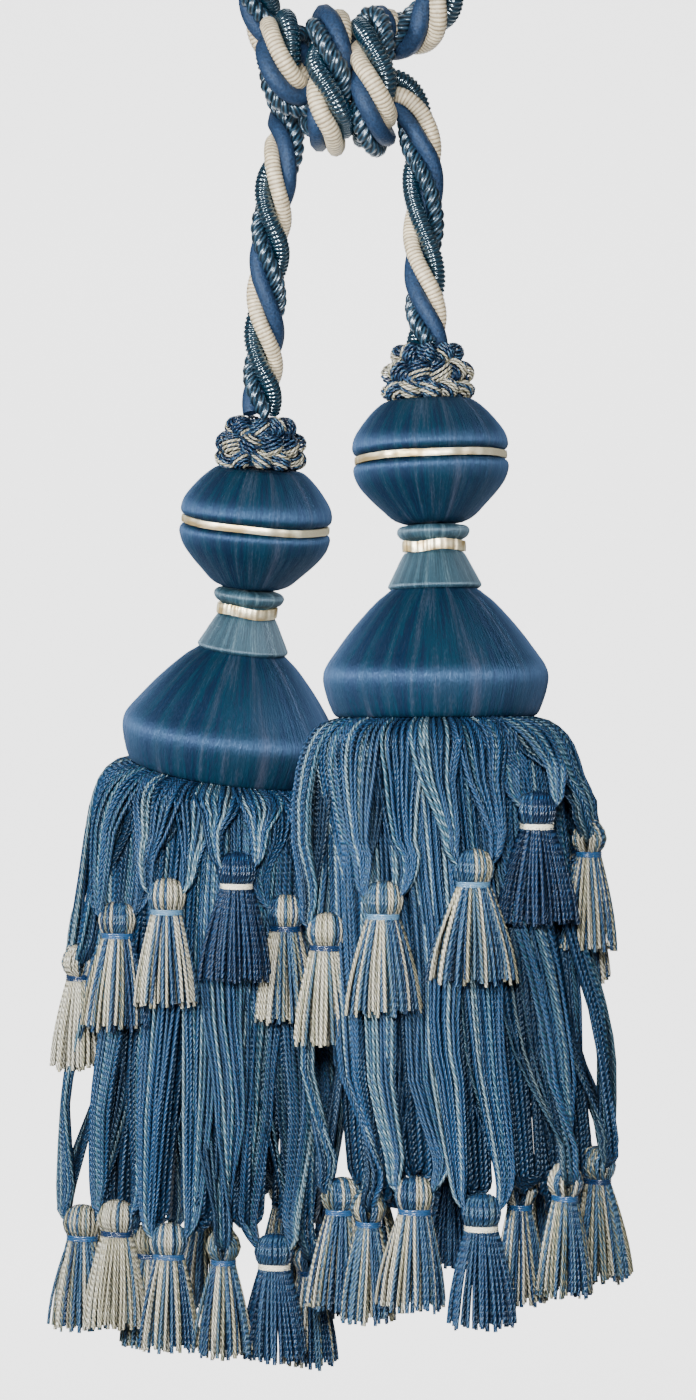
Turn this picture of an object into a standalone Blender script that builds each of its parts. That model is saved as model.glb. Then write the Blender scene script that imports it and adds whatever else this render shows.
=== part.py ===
"""Double tassel curtain tieback: one knotted rope with a large tassel on each of its two ends.

Metres, +Z up, +Y away from the viewer. The origin is the inner top of the rope's hanging loop.
"""

import math
from collections import namedtuple

import bpy
from mathutils import Matrix, Vector

MM = 0.001
GAP = 0.3 * MM

# Rope: four strands twisted together.
ROPE_DIAMETER = 11.4 * MM
ROPE_LAY = 45.0 * MM  # length of one full turn of the twist, which is left-handed
ROPE_STEP = 4.9 * MM
FINE_STEP = 1.5 * MM
SPAN_POINTS = 12  # curve points between two stops of the route
SMOOTHING_PASSES = 10
STRAND_COUNT = 4
VALLEY_DEPTH = 0.60  # radius in the valley between two strands, as a share of the rope's radius
SHOULDER_ANGLE = math.radians(27)  # from a valley to the shoulder of a strand
SHOULDER_RADIUS = 0.97
MOST_INWARD = 0.80  # share of a bend's radius that the rope's inner side may take up

# The rope's route in mm, from the left tassel to the right one.
Stop = namedtuple("Stop", "x y z")
ROPE_ROUTE_MM = [
    # up the left leg
    Stop(-25.3, 25.4, -162.5), Stop(-25, 24.5, -157.5), Stop(-24.5, 22, -141.5), Stop(-23.5, 19.5, -127.5),
    Stop(-22.5, 17, -115), Stop(-22, 15, -104), Stop(-20, 14.5, -94), Stop(-18, 17.5, -86),
    # behind the knot and out at its upper left
    Stop(-17.5, 22, -78.5), Stop(-18.5, 23.5, -71), Stop(-20.5, 22.5, -63.5), Stop(-22.5, 18, -57),
    Stop(-25, 13, -50.5), Stop(-27, 7.5, -41), Stop(-28, 3.5, -29), Stop(-26.5, 1, -16),
    # the hanging loop
    Stop(-21.5, 0, -4), Stop(-12, 0, 4), Stop(0, 0, 6), Stop(12, 0, 4),
    Stop(22, 0, -4), Stop(27.5, 0, -17), Stop(29.5, 0, -29.5), Stop(28, 0.5, -40.5),
    # down behind the third wrap and over its top
    Stop(25.5, 1.5, -48.5), Stop(22, 3.5, -54), Stop(17.5, 6, -57.5), Stop(13, 8.5, -58.5),
    Stop(9, 7.5, -56), Stop(6.5, 1, -55.5),
    # third wrap
    Stop(6, -8.5, -62), Stop(6.5, -12, -72.5), Stop(6.5, -10, -81.5), Stop(7, -1.5, -86.5),
    Stop(6, 8.5, -84.5), Stop(2.5, 16, -74.5), Stop(-2, 15.5, -63), Stop(-5.5, 6.5, -56.5),
    # second wrap
    Stop(-6, -2, -55.5), Stop(-6, -10, -63), Stop(-5.5, -12, -72.5), Stop(-5.5, -10, -81.5),
    Stop(-5, -1.5, -86.5), Stop(-7, 7.5, -83.5), Stop(-11.5, 12.5, -75), Stop(-15, 10, -63),
    # first wrap, which turns into the middle of the knot
    Stop(-18, 3.5, -56.5), Stop(-19.5, -5, -58), Stop(-20, -9, -65), Stop(-19, -8.5, -72),
    Stop(-16.5, -4.5, -76), Stop(-11.5, -0.5, -75.5), Stop(-5.5, 0.5, -72.5), Stop(1.5, 0.5, -71.5),
    # out at the right and down the right leg
    Stop(8.5, 1, -71), Stop(13.5, 1, -73), Stop(17, 1, -78), Stop(19.2, 0, -84.5),
    Stop(20, -0.5, -92.5), Stop(20.5, -1, -105), Stop(20.5, -2, -117.5), Stop(21, -3.5, -130.5),
    Stop(21.2, -5, -140.5), Stop(21.4, -5.6, -145),
]

# Turned outlines, in mm: radius, and height over the piece's own zero.
Turn = namedtuple("Turn", "radius height")
RUCHE_HEIGHT = 14.0 * MM
RUCHE_OUTLINE = [
    Turn(6.0, 14.0), Turn(9.6, 13.2), Turn(11.6, 10.6), Turn(12.6, 7.6),
    Turn(12.9, 4.4), Turn(12.3, 1.2), Turn(10.5, 0.0),
]
RUCHE_LOOPS = 9
RUCHE_LOOP_HEIGHT = 0.9 * MM

HEAD_BAND = (0.4 * MM, 2.9 * MM)  # lower and upper edge, over the head's zero
HEAD_OUTLINE = [
    Turn(12.6, 17.2), Turn(15.7, 14.7), Turn(18.6, 11.4), Turn(20.9, 8.0), Turn(21.7, 4.9),
    Turn(21.4, 3.3), Turn(19.8, 3.2), Turn(19.8, 0.1), Turn(21.4, 0.0), Turn(21.5, -1.9),
    Turn(20.3, -5.3), Turn(17.9, -8.6), Turn(14.7, -11.9), Turn(11.2, -15.2), Turn(8.2, -16.6),
]
HEAD_BAND_RADII = (20.1 * MM, 21.0 * MM)
HEAD_TOP, HEAD_BOTTOM = 17.2 * MM, -16.6 * MM

NECK_BAND = (-7.7 * MM, -4.5 * MM)  # lower and upper edge, under the neck's top
NECK_OUTLINE = [
    Turn(7.6, 0.0), Turn(9.4, -0.7), Turn(10.0, -1.9), Turn(9.2, -3.5), Turn(7.4, -4.2),
    Turn(7.4, -8.0), Turn(8.8, -8.3), Turn(11.2, -12.9), Turn(12.9, -17.2), Turn(12.2, -17.8),
]
NECK_BAND_RADII = (7.7 * MM, 8.6 * MM)
NECK_BOTTOM = -17.8 * MM

BELL_OUTLINE = [
    Turn(12.0, 0.0), Turn(17.0, -3.6), Turn(23.0, -10.2), Turn(28.0, -16.9), Turn(30.6, -20.9),
    Turn(31.2, -24.0), Turn(30.4, -28.2), Turn(29.0, -32.4), Turn(27.2, -34.9),
]
BELL_BOTTOM = -34.9 * MM
WIDE_SEGMENTS = 20
NARROW_SEGMENTS = 14

# Skirt: a backing disc under the bell, and two loop legs for each small tassel.
BACKING_RADIUS = 27.4 * MM
BACKING_THICKNESS = 2.4 * MM
LEG_HALF_WIDTH = 1.6 * MM
LEG_HALF_DEPTH = 1.3 * MM
LEG_HALF_SPACING = 2.4 * MM  # between the two legs' middles where they reach the small tassel
LEG_FAN = 1.3  # how much wider the two legs stand on the way down
LEG_GATHER = 1.3  # how much sooner than its end a leg lies at the small tassel's angle
KNEE_SHARE = 0.6  # of the way from a leg's last outline point to its end
UPPER_KNEE, LOWER_KNEE = 1.4 * MM, 2.0 * MM  # how far out a leg's knee stands
Fall = namedtuple("Fall", "drop radius")  # in mm, below and out from the bell's bottom centre
UPPER_LEG = [Fall(2.8, 31.8), Fall(9.0, 36.6)]
LOWER_LEG = [Fall(4.6, 30.2), Fall(24.0, 28.0), Fall(100.0, 28.0)]

# Small tassel, in mm over the middle of its tie.
KNOB_OUTLINE = [Turn(3.4, 8.3), Turn(4.8, 4.6), Turn(3.5, 1.2), Turn(3.5, -1.2)]
KNOB_TOP = 9.4 * MM
KNOB_SEGMENTS = 8
LOCK_COUNT = 4
LOCK_MID, LOCK_LENGTH = -10.0 * MM, -26.0 * MM
LOCK_MID_REACH = 0.70  # of the spread at the tips
LOCK_INNER, LOCK_SIDE = 0.14, 0.88  # reach of a lock's inner and side corners, as shares of its outer one's
LOCK_SIDE_ANGLE = 37.0  # degrees from a lock's middle to its side corners

# Each small tassel: angle round the skirt from the front towards +X in degrees,
# distance from the skirt's middle and drop of the tie below the bell, and half spread of the tips, in mm.
Hang = namedtuple("Hang", "row angle radius drop spread")
RIGHT_HANGS = [
    Hang("upper", -64, 39, 62, 9.0), Hang("upper", -29, 39, 52, 9.2), Hang("upper", 9, 39, 43, 9.6),
    Hang("upper", 39, 39, 28, 9.0), Hang("upper", 78, 40, 37, 8.8), Hang("upper", 113, 40, 48, 9.0),
    Hang("upper", 149, 40, 57, 9.0), Hang("upper", 184, 38, 50, 9.0), Hang("upper", 220, 38, 60, 8.2),
    Hang("lower", -80, 37, 136, 8.2), Hang("lower", -54, 36, 137, 8.2), Hang("lower", -27, 36, 132, 8.6),
    Hang("lower", 2, 36, 136, 8.8), Hang("lower", 37, 21, 133, 8.0), Hang("lower", 42, 37, 129, 8.2),
    Hang("lower", 74, 36, 127, 9.0), Hang("lower", 112, 36, 132, 9.0), Hang("lower", 150, 36, 135, 9.0),
    Hang("lower", 188, 35, 131, 9.0), Hang("lower", 233, 34, 137, 8.8),
]
LEFT_HANGS = [
    Hang("upper", -87, 40, 59.5, 8.8), Hang("upper", -46, 39, 45, 9.0), Hang("upper", -21, 39, 37.5, 8.6),
    Hang("upper", 8, 39, 30, 8.8), Hang("upper", 31, 38, 42.5, 8.2), Hang("upper", 92, 38, 44, 8.6),
    Hang("upper", 136, 40, 34.5, 9.0), Hang("upper", 181, 40, 49, 9.0), Hang("upper", 228, 40, 41, 8.4),
    Hang("lower", -74, 37, 135, 8.8), Hang("lower", -42, 37, 131, 8.4), Hang("lower", -78, 16, 141.5, 8.4),
    Hang("lower", -15, 36, 136.5, 8.4), Hang("lower", 10, 36, 138, 8.4), Hang("lower", 33, 38, 140, 8.2),
    Hang("lower", 59, 36, 144, 8.4), Hang("lower", 100, 36, 134, 8.8), Hang("lower", 141, 36, 131, 9.0),
    Hang("lower", 182, 36, 137, 9.0), Hang("lower", 236, 36, 133, 9.0),
]

# How each large tassel hangs: the lean of its turned pieces in degrees, its bottom towards +X and +Y,
# and the middle of the skirt at its foot in mm.
Lean = namedtuple("Lean", "side back")
Pose = namedtuple("Pose", "name ruche head neck bell foot hangs")
TASSELS = [
    Pose("right", Lean(1.0, -3.0), Lean(2.4, -3.4), Lean(1.6, -3.0), Lean(0.4, -2.0),
         (36.0, -14.0, -409.5), RIGHT_HANGS),
    Pose("left", Lean(-1.0, 4.5), Lean(-5.0, 5.5), Lean(-7.0, 5.5), Lean(-8.0, 6.0),
         (-43.0, 50.0, -420.5), LEFT_HANGS),
]

Finish = namedtuple("Finish", "colour roughness")
FINISHES = {
    "rope": Finish((0.105, 0.175, 0.270), 0.55),
    "ruche": Finish((0.175, 0.235, 0.310), 0.80),
    "wound_satin": Finish((0.035, 0.080, 0.135), 0.35),
    "neck_satin": Finish((0.110, 0.190, 0.250), 0.38),
    "ribbon": Finish((0.720, 0.620, 0.420), 0.30),
    "skirt_yarn": Finish((0.075, 0.150, 0.250), 0.60),
    "mixed_yarn": Finish((0.300, 0.330, 0.330), 0.70),
}


def clear_scene():
    for obj in list(bpy.data.objects):
        bpy.data.objects.remove(obj, do_unlink=True)


def make_material(name, finish):
    material = bpy.data.materials.new(name)
    material.use_nodes = True
    shader = material.node_tree.nodes["Principled BSDF"]
    shader.inputs["Base Color"].default_value = (*finish.colour, 1)
    shader.inputs["Roughness"].default_value = finish.roughness
    shader.inputs["Metallic"].default_value = 0
    return material


def make_object(name, points, faces, material, matrix=None):
    mesh = bpy.data.meshes.new(name)
    mesh.from_pydata([tuple(point) for point in points], [], faces)
    mesh.materials.append(material)
    mesh.shade_smooth()
    mesh.set_sharp_from_angle(angle=math.radians(50))
    mesh.update()
    obj = bpy.data.objects.new(name, mesh)
    bpy.context.scene.collection.objects.link(obj)
    if matrix is not None:
        obj.matrix_world = matrix
    return obj


def ring_faces(lower, upper, count):
    """The quads between two rings of points, wound to face out when the upper ring lies ahead."""
    return [
        (lower + i, lower + (i + 1) % count, upper + (i + 1) % count, upper + i)
        for i in range(count)
    ]


# ---- rope ----


def smooth_curve(stops, step):
    """Points at even steps on a smooth curve through the stops."""
    points = [Vector(stop) * MM for stop in stops]
    points = [2 * points[0] - points[1], *points, 2 * points[-1] - points[-2]]
    dense = []
    for p0, p1, p2, p3 in zip(points, points[1:], points[2:], points[3:]):
        knots = [0.0]
        for a, b in ((p0, p1), (p1, p2), (p2, p3)):
            knots.append(knots[-1] + math.sqrt((b - a).length))
        t0, t1, t2, t3 = knots
        for i in range(SPAN_POINTS):
            t = t1 + (t2 - t1) * i / SPAN_POINTS
            a1 = p0.lerp(p1, (t - t0) / (t1 - t0))
            a2 = p1.lerp(p2, (t - t1) / (t2 - t1))
            a3 = p2.lerp(p3, (t - t2) / (t3 - t2))
            b1 = a1.lerp(a2, (t - t0) / (t2 - t0))
            b2 = a2.lerp(a3, (t - t1) / (t3 - t1))
            dense.append(b1.lerp(b2, (t - t1) / (t2 - t1)))
    dense.append(points[-2])
    fine = even_steps(dense, FINE_STEP)
    for _ in range(SMOOTHING_PASSES):
        inner = [fine[i] * 0.5 + (fine[i - 1] + fine[i + 1]) * 0.25 for i in range(1, len(fine) - 1)]
        fine = [fine[0], *inner, fine[-1]]
    return even_steps(fine, step)


def even_steps(points, step):
    """The points of a polyline taken again at even distances of about step."""
    reach = [0.0]
    for a, b in zip(points, points[1:]):
        reach.append(reach[-1] + (b - a).length)
    count = round(reach[-1] / step)
    result, at = [], 0
    for i in range(count + 1):
        wanted = reach[-1] * i / count
        while at < len(points) - 2 and reach[at + 1] < wanted:
            at += 1
        share = (wanted - reach[at]) / (reach[at + 1] - reach[at])
        result.append(points[at].lerp(points[at + 1], share))
    return result


def rope_section():
    """(angle, share of the radius) of each point of the rope's section: a valley and two shoulders a strand."""
    rows = []
    for strand in range(STRAND_COUNT):
        start = strand * math.tau / STRAND_COUNT
        rows.append((start, VALLEY_DEPTH))
        rows.append((start + SHOULDER_ANGLE, SHOULDER_RADIUS))
        rows.append((start + math.tau / STRAND_COUNT - SHOULDER_ANGLE, SHOULDER_RADIUS))
    return rows


def build_rope(material):
    path = smooth_curve(ROPE_ROUTE_MM, ROPE_STEP)
    section = rope_section()
    count = len(section)
    last = len(path) - 1
    tangents = [(path[min(i + 1, last)] - path[max(i - 1, 0)]).normalized() for i in range(last + 1)]
    side = tangents[0].orthogonal().normalized()
    step = (path[1] - path[0]).length
    points, faces = [], []
    for i, centre in enumerate(path):
        tangent = tangents[i]
        side = (side - tangent * side.dot(tangent)).normalized()
        other = tangent.cross(side)
        bend = Vector((0, 0, 0))
        if 0 < i < last:
            bend = (tangents[i + 1] - tangents[i - 1]) / (2 * step)
        twist = -math.tau * i * step / ROPE_LAY
        for angle, share in section:
            turned = angle + twist
            offset = (side * math.cos(turned) + other * math.sin(turned)) * share * ROPE_DIAMETER / 2
            inward = offset.dot(bend)
            if inward > MOST_INWARD:
                offset -= bend * (inward - MOST_INWARD) / bend.length_squared
            points.append(centre + offset)
        if i:
            faces += ring_faces((i - 1) * count, i * count, count)
    faces.append(tuple(reversed(range(count))))
    faces.append(tuple(range(last * count, (last + 1) * count)))
    return make_object("rope", points, faces, material)


# ---- turned pieces ----


def lathe(name, outline, segments, material, matrix, swell=None):
    """A solid turned about Z from rows of radius and height, top to bottom, with flat ends."""
    points, faces = [], []
    for row, turn in enumerate(outline):
        for i in range(segments):
            angle = math.tau * i / segments
            radius = turn.radius * MM + (swell(row, i) if swell else 0)
            points.append((radius * math.cos(angle), radius * math.sin(angle), turn.height * MM))
        if row:
            faces += ring_faces(row * segments, (row - 1) * segments, segments)
    faces.append(tuple(range(segments)))
    start = (len(outline) - 1) * segments
    faces.append(tuple(reversed(range(start, start + segments))))
    return make_object(name, points, faces, material, matrix)


def band(name, radii, edges, segments, material, matrix):
    """A ribbon closed round Z: a ring with flat walls."""
    inner, outer = radii
    low, high = edges
    points = []
    for radius, height in ((outer, low), (outer, high), (inner, high), (inner, low)):
        for i in range(segments):
            angle = math.tau * i / segments
            points.append((radius * math.cos(angle), radius * math.sin(angle), height))
    faces = []
    for row in range(4):
        faces += ring_faces(row * segments, (row + 1) % 4 * segments, segments)
    return make_object(name, points, faces, material, matrix)


def ruche_swell(row, segment):
    """The ruff's loops stand out in rows, each row half a loop round from the next."""
    if row in (0, len(RUCHE_OUTLINE) - 1):
        return 0
    raised = (segment + row) % 2 == 0
    return RUCHE_LOOP_HEIGHT / 2 if raised else -RUCHE_LOOP_HEIGHT / 2


def hanging(place, lean):
    """The matrix of a piece at a place whose lower end leans towards +X by side and towards +Y by back."""
    turn = Matrix.Rotation(math.radians(lean.back), 4, "X") @ Matrix.Rotation(-math.radians(lean.side), 4, "Y")
    return Matrix.Translation(place) @ turn


def below(place, lean, drop):
    """The point that lies a distance down a piece's own axis."""
    return hanging(place, lean) @ Vector((0, 0, -drop))


# ---- skirt and small tassels ----


def around(angle):
    """The level direction at an angle in degrees from the front towards +X."""
    return Vector((math.sin(math.radians(angle)), -math.cos(math.radians(angle)), 0))


def skirt_middle(top, foot, drop):
    """The middle of the skirt at a drop below the bell."""
    share = drop / (top.z - foot.z)
    return Vector((top.x + (foot.x - top.x) * share, top.y + (foot.y - top.y) * share, top.z - drop))


def hang_point(top, foot, hang):
    """The middle of a small tassel's tie."""
    return skirt_middle(top, foot, hang.drop * MM) + around(hang.angle) * hang.radius * MM


def smooth_share(share):
    return share * share * (3 - 2 * share)


def leg_path(root, root_angle, top, foot, hang, side):
    """The middles of a leg's sections and their angles, from the backing to a small tassel's head."""
    tie = hang_point(top, foot, hang)
    end = tie + Vector((0, 0, KNOB_TOP + GAP)) + around(hang.angle + 90) * LEG_HALF_SPACING * side
    end_drop = top.z - end.z
    outline = UPPER_LEG if hang.row == "upper" else LOWER_LEG
    lift = root.z - top.z
    path = []
    for fall in outline:
        share = fall.drop * MM / end_drop
        turned = smooth_share(min(1, share * LEG_GATHER))
        angle = root_angle + (hang.angle - root_angle) * turned
        point = skirt_middle(top, foot, fall.drop * MM) + around(angle) * fall.radius * MM
        point += around(angle + 90) * LEG_HALF_SPACING * LEG_FAN * side * turned
        point.z += lift * (1 - share)
        path.append((point, angle))
    knee = path[-1][0].lerp(end, KNEE_SHARE)
    knee += around(hang.angle) * (UPPER_KNEE if hang.row == "upper" else LOWER_KNEE)
    path.append((knee, hang.angle))
    path.append((end, hang.angle))
    return path


def build_skirt(name, top, matrix, foot, hangs, material):
    """The backing disc with two legs for each small tassel, drawn out of its wall."""
    ordered = sorted(hangs, key=lambda hang: (hang.angle + 180) % 360)
    count = 2 * len(ordered)
    points, faces = [], []
    start = (ordered[0].angle + 180) % 360 - 180 - 360 / count
    for height in (0.0, -BACKING_THICKNESS):
        for i in range(count):
            spoke = around(start + 360 * i / count) * BACKING_RADIUS
            points.append(matrix @ (spoke + Vector((0, 0, height))))
    faces.append(tuple(range(count)))
    faces.append(tuple(reversed(range(count, 2 * count))))
    for i in range(count):
        hang = ordered[i // 2]
        side = -1 if i % 2 == 0 else 1
        after = (i + 1) % count
        corners = [i, count + i, count + after, after]
        root = sum((points[corner] for corner in corners), Vector()) / 4
        root_angle = start + 360 * (i + 0.5) / count
        root_angle += round((hang.angle - root_angle) / 360) * 360
        path = leg_path(root, root_angle, top, foot, hang, side)
        before = root
        for step, (middle, angle) in enumerate(path):
            ahead = path[min(step + 1, len(path) - 1)][0]
            along = (ahead - before).normalized() if step < len(path) - 1 else Vector((0, 0, -1))
            across = around(angle + 90) * LEG_HALF_WIDTH
            over = across.cross(along).normalized() * LEG_HALF_DEPTH
            section = len(points)
            points += [
                middle - across - over, middle - across + over,
                middle + across + over, middle + across - over,
            ]
            faces += [
                (corners[j], corners[(j + 1) % 4], section + (j + 1) % 4, section + j) for j in range(4)
            ]
            corners = [section + j for j in range(4)]
            before = middle
        faces.append(tuple(corners))
    return make_object(name, points, faces, material)


def build_small_tassel(name, tie, hang, material):
    """A folded head, its tie and four locks of cut yarn."""
    points, faces = [Vector((0, 0, KNOB_TOP))], []
    count = KNOB_SEGMENTS
    for row, turn in enumerate(KNOB_OUTLINE):
        start = 1 + row * count
        for i in range(count):
            spoke = around(360 * i / count) * turn.radius * MM
            points.append(spoke + Vector((0, 0, turn.height * MM)))
        if row == 0:
            faces += [(0, 1 + i, 1 + (i + 1) % count) for i in range(count)]
        else:
            faces += ring_faces(start, start - count, count)
    rim = 1 + (len(KNOB_OUTLINE) - 1) * count
    hub = len(points)
    points.append(Vector((0, 0, KNOB_OUTLINE[-1].height * MM)))
    span = count // LOCK_COUNT
    for lock in range(LOCK_COUNT):
        first = lock * span
        corners = [hub, rim + (first + span) % count, rim + first + 1, rim + first]
        ahead = 360 * (first + span / 2) / count
        for height, reach in ((LOCK_MID, LOCK_MID_REACH), (LOCK_LENGTH, 1.0)):
            outer = hang.spread * MM * reach
            base = Vector((0, 0, height))
            section = len(points)
            points += [
                base + around(ahead) * outer * LOCK_INNER,
                base + around(ahead + LOCK_SIDE_ANGLE) * outer * LOCK_SIDE,
                base + around(ahead) * outer,
                base + around(ahead - LOCK_SIDE_ANGLE) * outer * LOCK_SIDE,
            ]
            faces += [
                (corners[j], corners[(j + 1) % 4], section + (j + 1) % 4, section + j) for j in range(4)
            ]
            corners = [section + j for j in range(4)]
        faces.append(tuple(corners))
    turn = Matrix.Rotation(math.radians(hang.angle), 4, "Z")
    return make_object(name, points, faces, material, Matrix.Translation(tie) @ turn)


def seat(upper, lower, radius):
    """The gap that keeps a piece clear of the one above it when their axes lean apart."""
    return GAP + radius * math.sin(math.radians(abs(upper.side - lower.side) + abs(upper.back - lower.back)))


def end_lean(end, before):
    """The lean of the rope's last stretch."""
    fall = before.z - end.z
    return Lean(math.degrees(math.atan2(end.x - before.x, fall)), math.degrees(math.atan2(end.y - before.y, fall)))


def build_tassel(pose, rope_end, rope_before, materials):
    """The ruche, head, neck, bell, skirt and small tassels that hang from one end of the rope."""
    name = pose.name
    rope_seat = seat(end_lean(rope_end, rope_before), pose.ruche, ROPE_DIAMETER / 2)
    ruche_foot = below(rope_end, pose.ruche, rope_seat + RUCHE_HEIGHT)
    lathe(f"{name}_ruche", RUCHE_OUTLINE, 2 * RUCHE_LOOPS, materials["ruche"],
          hanging(ruche_foot, pose.ruche), ruche_swell)

    head_seat = seat(pose.ruche, pose.head, RUCHE_OUTLINE[-1].radius * MM)
    head_zero = below(ruche_foot, pose.head, head_seat + HEAD_TOP)
    head = hanging(head_zero, pose.head)
    lathe(f"{name}_head", HEAD_OUTLINE, WIDE_SEGMENTS, materials["wound_satin"], head)
    band(f"{name}_head_band", HEAD_BAND_RADII, HEAD_BAND, WIDE_SEGMENTS, materials["ribbon"], head)

    neck_seat = seat(pose.head, pose.neck, NECK_OUTLINE[0].radius * MM)
    neck_top = below(below(head_zero, pose.head, -HEAD_BOTTOM), pose.neck, neck_seat)
    neck = hanging(neck_top, pose.neck)
    lathe(f"{name}_neck", NECK_OUTLINE, NARROW_SEGMENTS, materials["neck_satin"], neck)
    band(f"{name}_neck_band", NECK_BAND_RADII, NECK_BAND, NARROW_SEGMENTS, materials["ribbon"], neck)

    bell_seat = seat(pose.neck, pose.bell, BELL_OUTLINE[0].radius * MM)
    bell_top = below(below(neck_top, pose.neck, -NECK_BOTTOM), pose.bell, bell_seat)
    lathe(f"{name}_bell", BELL_OUTLINE, WIDE_SEGMENTS, materials["wound_satin"], hanging(bell_top, pose.bell))

    skirt_top = below(bell_top, pose.bell, GAP - BELL_BOTTOM)
    skirt = hanging(skirt_top, pose.bell)
    foot = Vector(pose.foot) * MM
    build_skirt(f"{name}_skirt", skirt_top, skirt, foot, pose.hangs, materials["skirt_yarn"])
    for number, hang in enumerate(pose.hangs, 1):
        tie = hang_point(skirt_top, foot, hang)
        build_small_tassel(f"{name}_small_tassel_{number:02d}", tie, hang, materials["mixed_yarn"])


def main():
    clear_scene()
    materials = {name: make_material(name, finish) for name, finish in FINISHES.items()}
    build_rope(materials["rope"])
    right, left = TASSELS
    route = [Vector(stop) * MM for stop in ROPE_ROUTE_MM]
    build_tassel(right, route[-1], route[-2], materials)
    build_tassel(left, route[0], route[1], materials)


main()
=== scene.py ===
"""Looks of a double tassel curtain tieback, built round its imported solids.

Metres, +Z up, +Y away from the viewer. The origin is the inner top of the rope's hanging loop.
Tables of places and outlines are in mm, and are turned into metres where they are read.
"""

import logging
import math
import random
from collections.abc import Iterable, Mapping, Sequence
from dataclasses import dataclass, field
from enum import Enum
from typing import NamedTuple

import bpy
import numpy as np
from mathutils import Matrix, Vector


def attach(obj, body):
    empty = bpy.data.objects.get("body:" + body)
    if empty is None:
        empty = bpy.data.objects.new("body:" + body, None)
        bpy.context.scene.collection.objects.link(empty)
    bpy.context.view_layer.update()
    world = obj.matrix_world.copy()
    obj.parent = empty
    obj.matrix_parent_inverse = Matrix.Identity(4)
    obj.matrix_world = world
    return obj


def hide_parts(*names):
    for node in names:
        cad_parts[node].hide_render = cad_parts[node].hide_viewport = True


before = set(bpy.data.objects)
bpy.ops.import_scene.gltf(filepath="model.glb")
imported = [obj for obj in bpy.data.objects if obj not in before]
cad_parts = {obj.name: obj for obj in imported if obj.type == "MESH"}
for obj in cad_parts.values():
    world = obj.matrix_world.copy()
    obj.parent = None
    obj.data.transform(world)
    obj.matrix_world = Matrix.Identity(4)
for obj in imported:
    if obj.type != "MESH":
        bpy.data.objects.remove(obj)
log = logging.getLogger("tieback")

MM = 0.001
GAP = 0.3 * MM
FULL_TURN = 2 * math.pi
BODY = "root"
EYE = (-0.56 * MM, -1200.0 * MM, -204.4 * MM)

# ---------------------------------------------------------------- tables


class Stop(NamedTuple):
    """A point of the rope's route, in mm."""

    x: float
    y: float
    z: float


ROPE_ROUTE_MM: list[Stop] = [
    # up the left leg
    Stop(-25.3, 25.4, -162.5), Stop(-25, 24.5, -157.5), Stop(-24.5, 22, -141.5), Stop(-23.5, 19.5, -127.5),
    Stop(-22.5, 17, -115), Stop(-22, 15, -104), Stop(-20, 14.5, -94), Stop(-18, 17.5, -86),
    # behind the knot and out at its upper left
    Stop(-17.5, 22, -78.5), Stop(-18.5, 23.5, -71), Stop(-20.5, 22.5, -63.5), Stop(-22.5, 18, -57),
    Stop(-25, 13, -50.5), Stop(-27, 7.5, -41), Stop(-28, 3.5, -29), Stop(-26.5, 1, -16),
    # the hanging loop
    Stop(-21.5, 0, -4), Stop(-12, 0, 4), Stop(0, 0, 6), Stop(12, 0, 4),
    Stop(22, 0, -4), Stop(27.5, 0, -17), Stop(29.5, 0, -29.5), Stop(28, 0.5, -40.5),
    # down behind the third wrap and over its top
    Stop(25.5, 1.5, -48.5), Stop(22, 3.5, -54), Stop(17.5, 6, -57.5), Stop(13, 8.5, -58.5),
    Stop(9, 7.5, -56), Stop(6.5, 1, -55.5),
    # third wrap
    Stop(6, -8.5, -62), Stop(6.5, -12, -72.5), Stop(6.5, -10, -81.5), Stop(7, -1.5, -86.5),
    Stop(6, 8.5, -84.5), Stop(2.5, 16, -74.5), Stop(-2, 15.5, -63), Stop(-5.5, 6.5, -56.5),
    # second wrap
    Stop(-6, -2, -55.5), Stop(-6, -10, -63), Stop(-5.5, -12, -72.5), Stop(-5.5, -10, -81.5),
    Stop(-5, -1.5, -86.5), Stop(-7, 7.5, -83.5), Stop(-11.5, 12.5, -75), Stop(-15, 10, -63),
    # first wrap, which turns into the middle of the knot
    Stop(-18, 3.5, -56.5), Stop(-19.5, -5, -58), Stop(-20, -9, -65), Stop(-19, -8.5, -72),
    Stop(-16.5, -4.5, -76), Stop(-11.5, -0.5, -75.5), Stop(-5.5, 0.5, -72.5), Stop(1.5, 0.5, -71.5),
    # out at the right and down the right leg
    Stop(8.5, 1, -71), Stop(13.5, 1, -73), Stop(17, 1, -78), Stop(19.2, 0, -84.5),
    Stop(20, -0.5, -92.5), Stop(20.5, -1, -105), Stop(20.5, -2, -117.5), Stop(21, -3.5, -130.5),
    Stop(21.2, -5, -140.5), Stop(21.4, -5.6, -145),
]


class Turn(NamedTuple):
    """A point of a turned outline in mm: radius, and height over the piece's own zero."""

    radius: float
    height: float


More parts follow.
